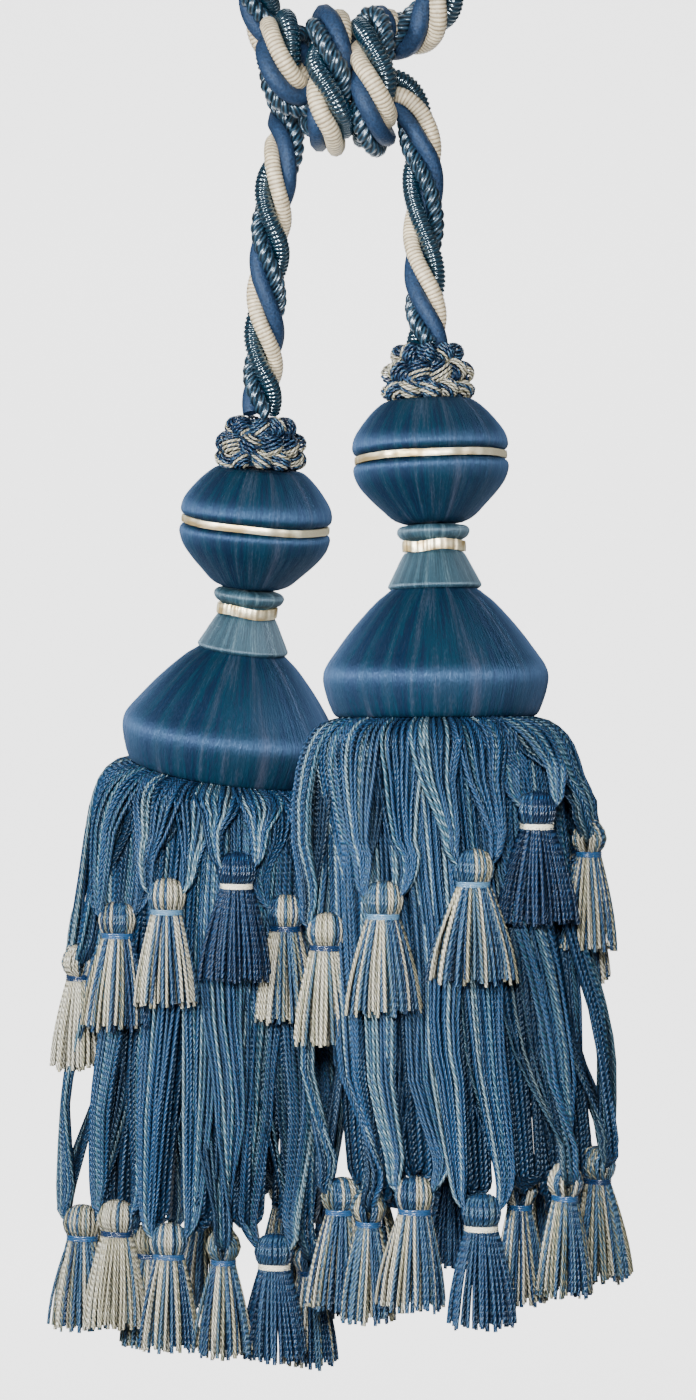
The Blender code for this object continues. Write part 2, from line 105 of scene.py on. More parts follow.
# Outlines are lists of smooth runs; the corners between two runs are sharp.
HEAD_RUNS: list[list[Turn]] = [
    [Turn(10.0, 17.6), Turn(12.6, 17.2), Turn(15.7, 14.7), Turn(18.6, 11.4), Turn(20.9, 8.0),
     Turn(21.7, 5.0), Turn(21.2, 3.4), Turn(20.2, 2.9)],
    [Turn(19.6, 2.8), Turn(19.6, 0.5)],
    [Turn(20.2, 0.4), Turn(21.3, -0.2), Turn(21.6, -2.0), Turn(20.4, -5.3), Turn(17.9, -8.6),
     Turn(14.7, -11.9), Turn(11.2, -15.2), Turn(8.2, -16.6)],
]
NECK_RUNS: list[list[Turn]] = [
    [Turn(7.0, 0.0), Turn(9.2, -0.5), Turn(10.1, -1.8), Turn(9.4, -3.4), Turn(7.7, -4.4)],
    [Turn(7.4, -4.6), Turn(7.4, -7.6)],
    [Turn(8.2, -7.8), Turn(9.2, -9.4), Turn(11.0, -12.9), Turn(12.5, -15.8), Turn(12.9, -16.6),
     Turn(12.9, -17.3), Turn(12.2, -17.9)],
]
BELL_RUNS: list[list[Turn]] = [
    [Turn(10.0, 1.4), Turn(12.0, 0.6), Turn(13.6, -0.6), Turn(17.0, -3.5), Turn(23.0, -10.2),
     Turn(28.0, -16.9), Turn(30.6, -20.9), Turn(31.3, -24.2), Turn(30.5, -28.4), Turn(29.0, -32.6),
     Turn(27.8, -34.4), Turn(26.2, -34.9)],
]
RUCHE_CORE: list[list[Turn]] = [
    [Turn(4.5, 13.2), Turn(7.6, 11.8), Turn(9.2, 8.0), Turn(9.6, 4.0), Turn(9.4, 0.5)],
]
BACKING: list[list[Turn]] = [
    [Turn(23.5, 0.0), Turn(25.0, -0.6), Turn(25.0, -1.8), Turn(23.5, -2.4)],
]
HEAD_TOP, HEAD_BOTTOM = 17.2 * MM, -16.6 * MM
NECK_BOTTOM = -17.8 * MM
BELL_BOTTOM = -34.9 * MM
RUCHE_HEIGHT = 14.0 * MM
RUCHE_FOOT_RADIUS = 10.5 * MM
NECK_TOP_RADIUS = 7.6 * MM
BELL_TOP_RADIUS = 12.0 * MM
ROPE_DIAMETER = 11.4 * MM


class Palette(Enum):
    """How a small tassel's yarns are dyed, as rows of share, lowest and highest tone."""

    IVORY = ((0.66, 0.86, 1.00), (0.18, 0.66, 0.80), (0.16, 0.34, 0.46))
    IVORY_BLUE = ((0.36, 0.84, 1.00), (0.36, 0.14, 0.30), (0.18, 0.34, 0.46), (0.10, 0.66, 0.80))
    PALE_BLUE = ((0.17, 0.84, 1.00), (0.49, 0.14, 0.34), (0.20, 0.36, 0.46), (0.14, 0.64, 0.80))
    MIXED = ((0.27, 0.80, 1.00), (0.19, 0.50, 0.70), (0.54, 0.06, 0.38))
    OLIVE = ((0.20, 0.84, 1.00), (0.54, 0.50, 0.72), (0.26, 0.22, 0.44))
    BLUE = ((0.92, 0.14, 0.26), (0.08, 0.08, 0.14))
    NAVY = ((0.88, 0.00, 0.10), (0.12, 0.10, 0.16))


class TieTone(Enum):
    """The tone of the thread tied round a small tassel."""

    NAVY = 0.03
    BLUE = 0.22
    PALE_BLUE = 0.42
    IVORY = 0.96


class Hang(NamedTuple):
    """Where a small tassel hangs and how it is dyed.

    The angle runs round the skirt from the front towards +X, in degrees. The distance from the skirt's
    middle, the tie's drop below the bell and the half spread of the tips are in mm. The turn is how far
    the folded head is turned about its own axis, in degrees.
    """

    row: str
    angle: float
    radius: float
    drop: float
    spread: float
    palette: Palette = Palette.MIXED
    tie: TieTone = TieTone.BLUE
    turn: float = 0.0


RIGHT_HANGS: list[Hang] = [
    Hang("upper", -64, 39, 62, 9.0, Palette.IVORY, TieTone.NAVY, 64),
    Hang("upper", -29, 39, 52, 10.2, Palette.IVORY_BLUE, TieTone.PALE_BLUE, 29),
    Hang("upper", 9, 39, 43, 11.4, Palette.PALE_BLUE, TieTone.PALE_BLUE),
    Hang("upper", 39, 39, 28, 10.4, Palette.NAVY, TieTone.IVORY, -39),
    Hang("upper", 78, 40, 37, 8.8, Palette.IVORY_BLUE, TieTone.BLUE),
    Hang("upper", 113, 40, 48, 9.0, Palette.MIXED, TieTone.NAVY),
    Hang("upper", 149, 40, 57, 9.0, Palette.IVORY, TieTone.BLUE),
    Hang("upper", 184, 38, 50, 9.0, Palette.BLUE, TieTone.IVORY),
    Hang("upper", 220, 38, 60, 8.2, Palette.IVORY_BLUE, TieTone.PALE_BLUE),
    Hang("lower", -80, 37, 136, 8.2, Palette.MIXED, TieTone.BLUE, 100),
    Hang("lower", -54, 36, 137, 8.2, Palette.PALE_BLUE, TieTone.BLUE, 144),
    Hang("lower", -27, 36, 132, 8.6, Palette.IVORY_BLUE, TieTone.BLUE, 27),
    Hang("lower", 2, 36, 136, 8.8, Palette.BLUE, TieTone.IVORY),
    Hang("lower", 37, 21, 133, 8.0, Palette.IVORY_BLUE, TieTone.BLUE, 53),
    Hang("lower", 42, 37, 129, 8.2, Palette.MIXED, TieTone.BLUE, 60),
    Hang("lower", 74, 36, 127, 9.0, Palette.OLIVE, TieTone.NAVY, 50),
    Hang("lower", 112, 36, 132, 9.0, Palette.MIXED, TieTone.BLUE, 70),
    Hang("lower", 150, 36, 135, 9.0, Palette.IVORY_BLUE, TieTone.NAVY),
    Hang("lower", 188, 35, 131, 9.0, Palette.BLUE, TieTone.IVORY, 90),
    Hang("lower", 233, 34, 137, 8.8, Palette.MIXED, TieTone.BLUE),
]
LEFT_HANGS: list[Hang] = [
    Hang("upper", -87, 40, 59.5, 8.8, Palette.IVORY, TieTone.NAVY, 15),
    Hang("upper", -46, 39, 45, 9.0, Palette.MIXED, TieTone.BLUE, 46),
    Hang("upper", -21, 39, 37.5, 8.6, Palette.IVORY_BLUE, TieTone.PALE_BLUE, 21),
    Hang("upper", 8, 39, 30, 8.8, Palette.NAVY, TieTone.IVORY),
    Hang("upper", 31, 38, 42.5, 8.2, Palette.MIXED, TieTone.NAVY, -31),
    Hang("upper", 92, 38, 44, 8.6, Palette.IVORY_BLUE, TieTone.BLUE),
    Hang("upper", 136, 40, 34.5, 9.0, Palette.MIXED, TieTone.BLUE),
    Hang("upper", 181, 40, 49, 9.0, Palette.NAVY, TieTone.IVORY),
    Hang("upper", 228, 40, 41, 8.4, Palette.IVORY, TieTone.NAVY),
    Hang("lower", -74, 37, 135, 8.8, Palette.MIXED, TieTone.BLUE, 60),
    Hang("lower", -42, 37, 131, 8.4, Palette.IVORY, TieTone.NAVY, 27),
    Hang("lower", -78, 16, 141.5, 8.4, Palette.OLIVE, TieTone.NAVY, 78),
    Hang("lower", -15, 36, 136.5, 8.4, Palette.IVORY_BLUE, TieTone.BLUE, 15),
    Hang("lower", 10, 36, 138, 8.4, Palette.PALE_BLUE, TieTone.BLUE, 80),
    Hang("lower", 33, 38, 140, 8.2, Palette.BLUE, TieTone.IVORY, -43),
    Hang("lower", 59, 36, 144, 8.4, Palette.MIXED, TieTone.NAVY, 31),
    Hang("lower", 100, 36, 134, 8.8, Palette.NAVY, TieTone.BLUE),
    Hang("lower", 141, 36, 131, 9.0, Palette.IVORY_BLUE, TieTone.BLUE, 90),
    Hang("lower", 182, 36, 137, 9.0, Palette.MIXED, TieTone.NAVY),
    Hang("lower", 236, 36, 133, 9.0, Palette.IVORY, TieTone.BLUE, 40),
]


class Lean(NamedTuple):
    """How a piece's lower end leans, in degrees: towards +X by side and towards +Y by back."""

    side: float
    back: float


# ---------------------------------------------------------------- node graphs

Colour = tuple[float, float, float]
Stops = tuple[tuple[float, Colour], ...]


class Wire:
    """A number that comes out of a node and takes part in Python sums."""

    def __init__(self, graph: "Graph", socket: bpy.types.NodeSocket) -> None:
        """Keeps the graph that new Math nodes go to, and the socket."""
        self.graph = graph
        self.socket = socket

    def __add__(self, other: "Wire | float") -> "Wire":
        """self + other."""
        return self.graph.maths("ADD", self, other)

    def __radd__(self, other: float) -> "Wire":
        """other + self."""
        return self.graph.maths("ADD", other, self)

    def __sub__(self, other: "Wire | float") -> "Wire":
        """self - other."""
        return self.graph.maths("SUBTRACT", self, other)

    def __rsub__(self, other: float) -> "Wire":
        """other - self."""
        return self.graph.maths("SUBTRACT", other, self)

    def __mul__(self, other: "Wire | float") -> "Wire":
        """self * other."""
        return self.graph.maths("MULTIPLY", self, other)

    def __rmul__(self, other: float) -> "Wire":
        """other * self."""
        return self.graph.maths("MULTIPLY", other, self)


class Graph:
    """A node tree that is filled with one method for any node."""

    def __init__(self, tree: bpy.types.NodeTree) -> None:
        """Keeps the tree, which may hold nodes already."""
        self.tree = tree

    def add(
        self,
        kind: str,
        settings: Mapping[str, object] | None = None,
        values: Mapping[int | str, object] | None = None,
    ) -> bpy.types.Node:
        """Adds a node.

        Args:
            kind: the node's type.
            settings: its properties, set before its sockets; stops are a ramp's places and colours, and
                captures are the items of a Capture Attribute node.
            values: for each input socket's index or name, a wire or a socket to link, or a value.

        Returns:
            The new node.
        """
        node = self.tree.nodes.new(kind)
        for name, value in (settings or {}).items():
            if name == "stops":
                self._set_stops(node.color_ramp, value)
            elif name == "captures":
                for item_kind, item_name in value:
                    node.capture_items.new(item_kind, item_name)
            else:
                setattr(node, name, value)
        for key, value in (values or {}).items():
            if isinstance(value, Wire):
                self.tree.links.new(value.socket, node.inputs[key])
            elif isinstance(value, bpy.types.NodeSocket):
                self.tree.links.new(value, node.inputs[key])
            else:
                node.inputs[key].default_value = value
        return node

    @staticmethod
    def _set_stops(ramp: bpy.types.ColorRamp, stops: "Stops") -> None:
        """Gives a ramp its stops, of which it has two at first.

        Args:
            ramp: the ramp.
            stops: places and colours from left to right.
        """
        while len(ramp.elements) < len(stops):
            ramp.elements.new(1.0)
        for element, (place, colour) in zip(ramp.elements, stops):
            element.position = place
            element.color = (*colour, 1.0)

    def wire(self, node: bpy.types.Node, output: int | str = 0) -> Wire:
        """One of a node's outputs as a wire."""
        return Wire(self, node.outputs[output])

    def maths(self, operation: str, *values: "Wire | float") -> Wire:
        """A Math node's result, for instance maths("SINE", wire)."""
        node = self.add("ShaderNodeMath", {"operation": operation}, dict(enumerate(values)))
        return self.wire(node)

    def attribute(self, name: str, output: str = "Fac") -> bpy.types.NodeSocket:
        """A socket of the piece's own attribute of this name."""
        return self.add("ShaderNodeAttribute", {"attribute_name": name}).outputs[output]

    def number(self, name: str) -> Wire:
        """The piece's own number of this name."""
        return Wire(self, self.attribute(name))

    def parts(self, vector: bpy.types.NodeSocket) -> list[Wire]:
        """A vector's three numbers."""
        node = self.add("ShaderNodeSeparateXYZ", None, {0: vector})
        return [Wire(self, socket) for socket in node.outputs]

    def angle(self, parts: Sequence[Wire]) -> Wire:
        """The angle round the axis of the first two numbers."""
        return self.maths("ARCTAN2", parts[1], parts[0])

    def noise(self, place: bpy.types.NodeSocket, scale: "float | Colour", detail: float) -> Wire:
        """Noise at a place, with one fineness or one for each direction.

        Args:
            place: where the noise is read.
            scale: its fineness, or one for each direction.
            detail: its number of finer layers.

        Returns:
            The noise, from 0 to 1.
        """
        if isinstance(scale, tuple):
            stretch = self.add("ShaderNodeVectorMath", {"operation": "MULTIPLY"}, {0: place, 1: scale})
            place, scale = stretch.outputs[0], 1.0
        values = {"Vector": place, "Scale": scale, "Detail": detail}
        return self.wire(self.add("ShaderNodeTexNoise", None, values))

    def ramp(self, stops: "Stops", factor: Wire) -> bpy.types.NodeSocket:
        """The colour at a place on a ramp."""
        return self.add("ShaderNodeValToRGB", {"stops": stops}, {0: factor}).outputs[0]

    def grey(self, level: Wire) -> bpy.types.NodeSocket:
        """A grey of a level."""
        return self.add("ShaderNodeCombineColor", None, dict.fromkeys(range(3), level)).outputs[0]

    def mix(
        self, factor: "Wire | float", first: object, second: object, blend: str = "MIX",
    ) -> bpy.types.NodeSocket:
        """The colour between two colours or colour sockets.

        Args:
            factor: 0 for the first colour and 1 for the second.
            first: a colour of four numbers, or a socket.
            second: a colour of four numbers, or a socket.
            blend: how the second goes over the first.

        Returns:
            The colour socket.
        """
        settings = {"data_type": "RGBA", "blend_type": blend}
        return self.add("ShaderNodeMix", settings, {0: factor, 6: first, 7: second}).outputs[2]


# ---------------------------------------------------------------- finishes


def opaque(colour: Colour) -> tuple[float, float, float, float]:
    """A colour with its alpha, as sockets want it."""
    return (*colour, 1.0)


class Surface:
    """A fresh material with its graph and its shader node."""

    def __init__(self, name: str) -> None:
        """Makes the material."""
        self.material = bpy.data.materials.new(name)
        self.material.use_nodes = True
        self.graph = Graph(self.material.node_tree)
        self.shader = self.material.node_tree.nodes["Principled BSDF"]

    def link(self, name: str, socket: bpy.types.NodeSocket) -> None:
        """Links what changes over the surface to one of the shader's sockets."""
        self.graph.tree.links.new(socket, self.shader.inputs[name])

    def set(self, **constants: object) -> None:
        """Sets what is the same all over the surface, with _ for a space in a socket's name."""
        for name, value in constants.items():
            self.shader.inputs[name.replace("_", " ")].default_value = value

    def dress(
        self, base: bpy.types.NodeSocket, light: Wire, height: Wire, depth: float, strength: float = 1.0,
    ) -> None:
        """Gives the surface its colour and its relief.

        Args:
            base: the colour before it is lightened and darkened.
            light: by how much it is multiplied.
            height: the relief, from about 0 to 1.
            depth: how deep a relief of 1 is, in metres.
            strength: how strongly the relief shows.
        """
        self.link("Base Color", self.graph.mix(1.0, base, self.graph.grey(light), "MULTIPLY"))
        values = {"Strength": strength, "Distance": depth, "Height": height}
        self.link("Normal", self.graph.add("ShaderNodeBump", None, values).outputs[0])


@dataclass(frozen=True)
class YarnFinish:
    """Twisted yarn, dyed by its tone along a ramp, with two plies that run round it.

    Attributes:
        name: the material's name.
        stops: the ramp from tone to colour.
        roughness: of the yarn's crests.
        specular: specular level.
        tint: colour of the shine.
        pitch: distance between two ply lines along the yarn, in metres.
        ply_depth: how far a ply line is cut in, in metres.
        plies: number of plies that show round the yarn.
        groove_shade: painted shade in a ply line: its brightness as a share of the full brightness.
        left_tone: from which tone up the yarn is twisted the other way.
        fleck: how much fine fibres lighten and darken the yarn.
        fibre_scale: fineness of the fibres, per metre.
        marl: how far the tone swings from one ply to the next.
    """

    name: str
    stops: Stops
    roughness: float = 0.42
    specular: float = 0.6
    tint: Colour = (1.0, 1.0, 1.0)
    pitch: float = 1.55 * MM
    plies: int = 3
    ply_depth: float = 0.20 * MM
    groove_shade: float = 0.16
    left_tone: float = 0.42
    fleck: float = 0.35
    fibre_scale: float = 2600.0
    marl: float = 0.0

    def build(self) -> bpy.types.Material:
        """The finish as a material that reads the spun and tone attributes and the one that holds painted
        light.
        """
        surface = Surface(self.name)
        graph = surface.graph
        parts = graph.parts(graph.attribute("spun", "Vector"))
        turns = parts[2] * (FULL_TURN / self.pitch)
        tone = graph.number("tone")
        hand = graph.maths("GREATER_THAN", tone, self.left_tone) * 2.0 - 1.0
        round_it = graph.angle(parts) * hand * float(self.plies)
        ply = graph.maths("SINE", round_it + turns) * 0.5 + 0.5
        fibres = graph.noise(graph.add("ShaderNodeTexCoord").outputs["Object"], self.fibre_scale, 2.0)
        swing = graph.maths("SINE", round_it + turns * 0.5) * self.marl
        # painted shade: darker in the ply lines, and darker where the line's painted light is low
        light = (ply * (1.0 - self.groove_shade) + self.groove_shade) * (graph.number("crest") * 0.8 + 0.2)
        light = light * ((fibres - 0.5) * (2.0 * self.fleck) + 1.0)
        surface.dress(graph.ramp(self.stops, tone + swing), light, ply + fibres * 0.3, self.ply_depth)
        surface.set(
            Roughness=self.roughness, Specular_IOR_Level=self.specular, Specular_Tint=opaque(self.tint),
        )
        return surface.material


@dataclass(frozen=True)
class StrandFinish:
    """One of the rope's strands, with painted shade between its ribs and a painted highlight on their crests.

    Attributes:
        name: the material's name.
        valley_shade: painted shade, the colour between two ribs.
        crest: painted highlight, the colour on a rib.
        roughness: of the surface.
        tint: colour of the shine.
        ior: how strongly it shines.
        fleck: how much fine fibres lighten and darken the strand; with threads, also painted shade between
            them.
        fleck_scale: fineness of the fibres, per metre.
        fleck_depth: their relief in metres.
        threads: number of fine threads round the strand, or 0.
    """

    name: str
    valley_shade: Colour
    crest: Colour
    roughness: float
    tint: Colour = (1.0, 1.0, 1.0)
    ior: float = 1.5
    fleck: float = 0.2
    fleck_scale: float = 1400.0
    fleck_depth: float = 0.05 * MM
    threads: int = 0

    def build(self) -> bpy.types.Material:
        """The finish as a material that reads the spun attribute and the one that holds painted light."""
        surface = Surface(self.name)
        graph = surface.graph
        height = graph.noise(graph.add("ShaderNodeTexCoord").outputs["Object"], self.fleck_scale, 3.0)
        if self.threads:
            angle = graph.angle(graph.parts(graph.attribute("spun", "Vector")))
            # the threads' ridges also darken the colour between them through fleck, a painted shade
            height = height * 0.4 + graph.maths("SINE", angle * float(self.threads)) * 0.5
        # painted shade between the ribs and painted highlight on their crests
        base = graph.mix(graph.number("crest"), opaque(self.valley_shade), opaque(self.crest))
        surface.dress(base, (height - 0.5) * (2.0 * self.fleck) + 1.0, height, self.fleck_depth)
        surface.set(Roughness=self.roughness, IOR=self.ior, Specular_Tint=opaque(self.tint))
        return surface.material


@dataclass(frozen=True)
class WoundFinish:
    """Satin thread wound over a mould, top to bottom, in shaded groups.

    Attributes:
        name: the material's name.
        dark: colour of the darkest groups.
        middle: colour of most threads.
        pale: colour of the palest groups.
        roughness: of the thread.
        tint: colour of the shine.
        ior: how strongly it shines.
        thread_depth: relief of a thread in metres.
        streak: how much single threads lighten and darken.
    """

    name: str
    dark: Colour
    middle: Colour
    pale: Colour
    roughness: float = 0.74
    tint: Colour = (0.30, 0.52, 1.0)
    ior: float = 1.72
    thread_depth: float = 0.16 * MM
    streak: float = 0.55

    def build(self) -> bpy.types.Material:
        """The finish as a material that reads the wound attribute."""
        surface = Surface(self.name)
        graph = surface.graph
        wound = graph.attribute("wound", "Vector")
        # Each runs along the threads: fine round the piece and long down it.
        groups = graph.noise(wound, (5.2, 5.2, 16.0), 2.0)
        streaks = graph.noise(wound, (42.0, 42.0, 90.0), 3.0)
        hairs = graph.noise(wound, (110.0, 110.0, 700.0), 2.0)
        shade = groups + (streaks - 0.5) * 0.30 + (hairs - 0.5) * 0.30
        stops = ((0.36, self.dark), (0.46, self.middle), (0.52, self.middle), (0.70, self.pale))
        light = (streaks - 0.5) * (3.0 * self.streak) + (hairs - 0.5) * (2.0 * self.streak) + 1.0
        surface.dress(graph.ramp(stops, shade), light, streaks * 1.4 + hairs, self.thread_depth)
        rough = (0.5 - hairs) * 0.7 + (0.5 - streaks) * 0.5 + self.roughness
        surface.link("Roughness", rough.socket)
        surface.set(IOR=self.ior, Specular_IOR_Level=0.9, Specular_Tint=opaque(self.tint), Anisotropic=0.85)
        return surface.material


@dataclass(frozen=True)
class RibbonFinish:
    """Narrow satin ribbon.

    Attributes:
        name: the material's name.
        light: its colour.
        shade: its darker colour, in broad patches that come and go round it.
        roughness: of the satin.
    """

    name: str
    light: Colour
    shade: Colour
    roughness: float = 0.42

    def build(self) -> bpy.types.Material:
        """The finish as a material that reads the wound attribute."""
        surface = Surface(self.name)
        graph = surface.graph
        wound = graph.attribute("wound", "Vector")
        broad_patches = graph.noise(wound, (1.7, 1.7, 260.0), 2.0)
        weave = graph.noise(wound, (22.0, 22.0, 3000.0), 2.0)
        base = graph.ramp(((0.38, self.shade), (0.56, self.light)), broad_patches)
        surface.dress(base, (weave - 0.5) * 0.4 + 1.0, broad_patches * 2.0 + weave * 0.4, 0.12 * MM, 0.8)
        surface.set(Roughness=self.roughness, Metallic=0.75, Anisotropic=0.6)
        return surface.material


@dataclass(frozen=True)
class PaleFloorFinish:
    """The plain pale floor and the wall behind it, which glows softly behind the object."""

    name: str = "pale_floor"
    colour: Colour = (0.85, 0.85, 0.85)
    glow: float = 2.6

    def build(self) -> bpy.types.Material:
        """The finish as a material whose glow fades to the front and the sides."""
        surface = Surface(self.name)
        graph = surface.graph
        across, behind, _ = graph.parts(graph.add("ShaderNodeTexCoord").outputs["Object"])
        side = self._fade(graph, graph.maths("ABSOLUTE", across), 0.72, 1.25)
        level = self._fade(graph, behind, 0.45, 0.85) * (1.0 - side)
        surface.link("Emission Color", graph.grey(level))
        surface.set(Base_Color=opaque(self.colour), Roughness=0.9, Specular_IOR_Level=0.1)
        surface.set(Emission_Strength=self.glow)
        return surface.material

    @staticmethod
    def _fade(graph: Graph, value: Wire, start: float, end: float) -> Wire:
        """A share that goes from 0 to 1 between two places."""
        settings = {"interpolation_type": "SMOOTHSTEP"}
        return graph.wire(graph.add("ShaderNodeMapRange", settings, {0: value, 1: start, 2: end}))


SKIRT_YARN = YarnFinish(
    "skirt_yarn",
    (
        (0.00, (0.003, 0.022, 0.066)),
        (0.20, (0.010, 0.058, 0.155)),
        (0.36, (0.018, 0.100, 0.260)),
        (0.50, (0.036, 0.105, 0.240)),
        (0.62, (0.062, 0.120, 0.245)),
        (0.72, (0.022, 0.125, 0.205)),
        (0.86, (0.110, 0.260, 0.390)),
        (1.00, (0.420, 0.580, 0.640)),
    ),
    tint=(0.62, 0.82, 1.0),
    groove_shade=0.22,
    marl=0.12,
)
TASSEL_YARN = YarnFinish(
    "tassel_yarn",
    (
        (0.00, (0.006, 0.022, 0.070)),
        (0.20, (0.012, 0.072, 0.205)),
        (0.42, (0.110, 0.250, 0.400)),
        (0.56, (0.170, 0.210, 0.160)),
        (0.76, (0.680, 0.610, 0.380)),
        (1.00, (1.000, 0.970, 0.800)),
    ),
    roughness=0.36,
    tint=(0.80, 0.90, 1.0),
    groove_shade=0.28,
    marl=0.12,
)
TIE_THREAD = YarnFinish(
    "tie_thread", TASSEL_YARN.stops, roughness=0.26, specular=0.9, ply_depth=0.04 * MM, groove_shade=0.8,
    fleck=0.15,
)
RUCHE_YARN = YarnFinish(
    "ruche_yarn", TASSEL_YARN.stops, roughness=0.36, pitch=1.5 * MM, plies=2, groove_shade=0.22, marl=0.22,
)
IVORY_GIMP = StrandFinish(
    "ivory_gimp", (0.26, 0.18, 0.09), (0.86, 0.75, 0.54), 0.42, fleck=0.6, fleck_scale=420.0,
)
BLUE_CORD = StrandFinish(
    "smooth_blue_cord", (0.004, 0.016, 0.044), (0.012, 0.032, 0.078), 0.6, tint=(0.6, 0.75, 1.0), ior=1.55,
    fleck=1.1, fleck_scale=1500.0, fleck_depth=0.30 * MM,
)
NAVY_GIMP = StrandFinish(
    "navy_gimp", (0.000, 0.002, 0.006), (0.004, 0.026, 0.046), 0.20, tint=(0.75, 0.9, 1.0), ior=2.4,
    fleck=0.0, fleck_depth=0.0,
)
BEAD_CORD = StrandFinish(
    "bead_cord", (0.008, 0.028, 0.050), (0.016, 0.050, 0.086), 0.32, tint=(0.72, 0.86, 1.0), ior=2.2,
    fleck=0.7, fleck_depth=0.18 * MM, threads=6,
)
WOUND_SATIN = WoundFinish(
    "wound_satin", (0.001, 0.008, 0.022), (0.002, 0.018, 0.032), (0.030, 0.038, 0.058),
)
NECK_SATIN = WoundFinish(
    "neck_satin", (0.008, 0.030, 0.044), (0.018, 0.052, 0.072), (0.090, 0.150, 0.175),
    tint=(0.60, 0.80, 1.0), ior=1.8, streak=0.9,
)
RIBBON_SATIN = RibbonFinish("ribbon_satin", (1.00, 0.90, 0.64), (0.62, 0.46, 0.22))


class Finishes:
    """Every material of the object, each made once."""

    def __init__(self) -> None:
        """Builds the materials."""
        self.skirt_yarn = SKIRT_YARN.build()
        self.tassel_yarn = TASSEL_YARN.build()
        self.tie_thread = TIE_THREAD.build()
        self.ruche_yarn = RUCHE_YARN.build()
        self.strands = [finish.build() for finish in (IVORY_GIMP, BLUE_CORD, BEAD_CORD, NAVY_GIMP)]
        self.wound_satin = WOUND_SATIN.build()
        self.neck_satin = NECK_SATIN.build()
        self.ribbon = RIBBON_SATIN.build()


# ---------------------------------------------------------------- shapes


def around(angle: float) -> Vector:
    """The level direction at an angle in degrees from the front towards +X."""
    return Vector((math.sin(math.radians(angle)), -math.cos(math.radians(angle)), 0))


def smooth_share(share: float) -> float:
    """A share from 0 to 1 that starts and ends slowly."""
    share = min(1.0, max(0.0, share))
    return share * share * (3 - 2 * share)


def through(stops: Sequence[Iterable[float]], count: int) -> np.ndarray:
    """Points of a smooth curve through some stops.

    Args:
        stops: the stops' numbers, of any dimension.
        count: how many points to take.

    Returns:
        An array of count rows.
    """
    p = np.array([tuple(stop) for stop in stops], float)
    p = np.vstack([2 * p[0] - p[1], p, 2 * p[-1] - p[-2]])
    at = np.linspace(0, len(p) - 3, count)
    i = np.minimum(at.astype(int), len(p) - 4)
    t = (at - i)[:, None]
    p0, p1, p2, p3 = p[i], p[i + 1], p[i + 2], p[i + 3]
    return 0.5 * (
        2 * p1 + (p2 - p0) * t + (2 * p0 - 5 * p1 + 4 * p2 - p3) * t**2 + (3 * p1 - p0 - 3 * p2 + p3) * t**3
    )


def even_steps(points: np.ndarray, step: float) -> np.ndarray:
    """The points of a polyline taken again at even distances of about step.

    Args:
        points: the polyline's points.
        step: the wanted distance.

    Returns:
        The new points.
    """
    reach = np.concatenate([[0.0], np.cumsum(np.linalg.norm(np.diff(points, axis=0), axis=1))])
    wanted = np.linspace(0, reach[-1], round(reach[-1] / step) + 1)
    return np.column_stack([np.interp(wanted, reach, points[:, axis]) for axis in range(3)])


def relaxed(points: np.ndarray, passes: int) -> np.ndarray:
    """A polyline whose inner points are drawn to the middle of their neighbours, a number of times.

    Args:
        points: the polyline's points.
        passes: how many times.

    Returns:
        The new points.
    """
    points = points.copy()
    for _ in range(passes):
        points[1:-1] = points[1:-1] * 0.5 + (points[:-2] + points[2:]) * 0.25
    return points


def carried_frames(points: np.ndarray) -> tuple[np.ndarray, np.ndarray]:
    """Two directions across a polyline at each point, carried along it with no twist.

    Args:
        points: the polyline's points.

    Returns:
        The first and second direction at each point.
    """
    tangents = np.gradient(points, axis=0)
    tangents /= np.linalg.norm(tangents, axis=1)[:, None]
    side = np.array(Vector(tangents[0]).orthogonal().normalized())
    sides = np.empty_like(points)
    for i, tangent in enumerate(tangents):
        side = side - tangent * side.dot(tangent)
        side /= np.linalg.norm(side)
        sides[i] = side
    return sides, np.cross(tangents, sides)


def away_from(points: np.ndarray, middle: Vector, level: bool = False) -> np.ndarray:
    """The ways from a middle to points, each of length 1, and level where that is asked.

    Args:
        points: where the ways lead.
        middle: where they start.
        level: whether they are laid level.

    Returns:
        A way for each point.
    """
    ways = points - np.array(middle)
    if level:
        ways[:, 2] = 0.0
    return ways / (np.linalg.norm(ways, axis=1, keepdims=True) + 1e-9)


@dataclass
class Line:
    """The middle line of a yarn, strand or thread that the sweep makes round.

    Attributes:
        points: its points, in metres.
        thick: its radius in metres, for the whole line or for each point.
        tone: its place on the finish's colour ramp.
        finish: which of the sweep's finishes it takes.
        crest: 1 where the line keeps its full colour, lower where painted shade darkens it; for the whole
            line or for each point.
        out: the way out of the bundle, for the whole line or for each point; sides turned from it get painted
            shade, and with none they get none.
    """

    points: np.ndarray
    thick: float | np.ndarray
    tone: float = 0.5
    finish: int = 0
    crest: float | np.ndarray = 1.0
    out: Sequence[float] | np.ndarray = (0.0, 0.0, 0.0)


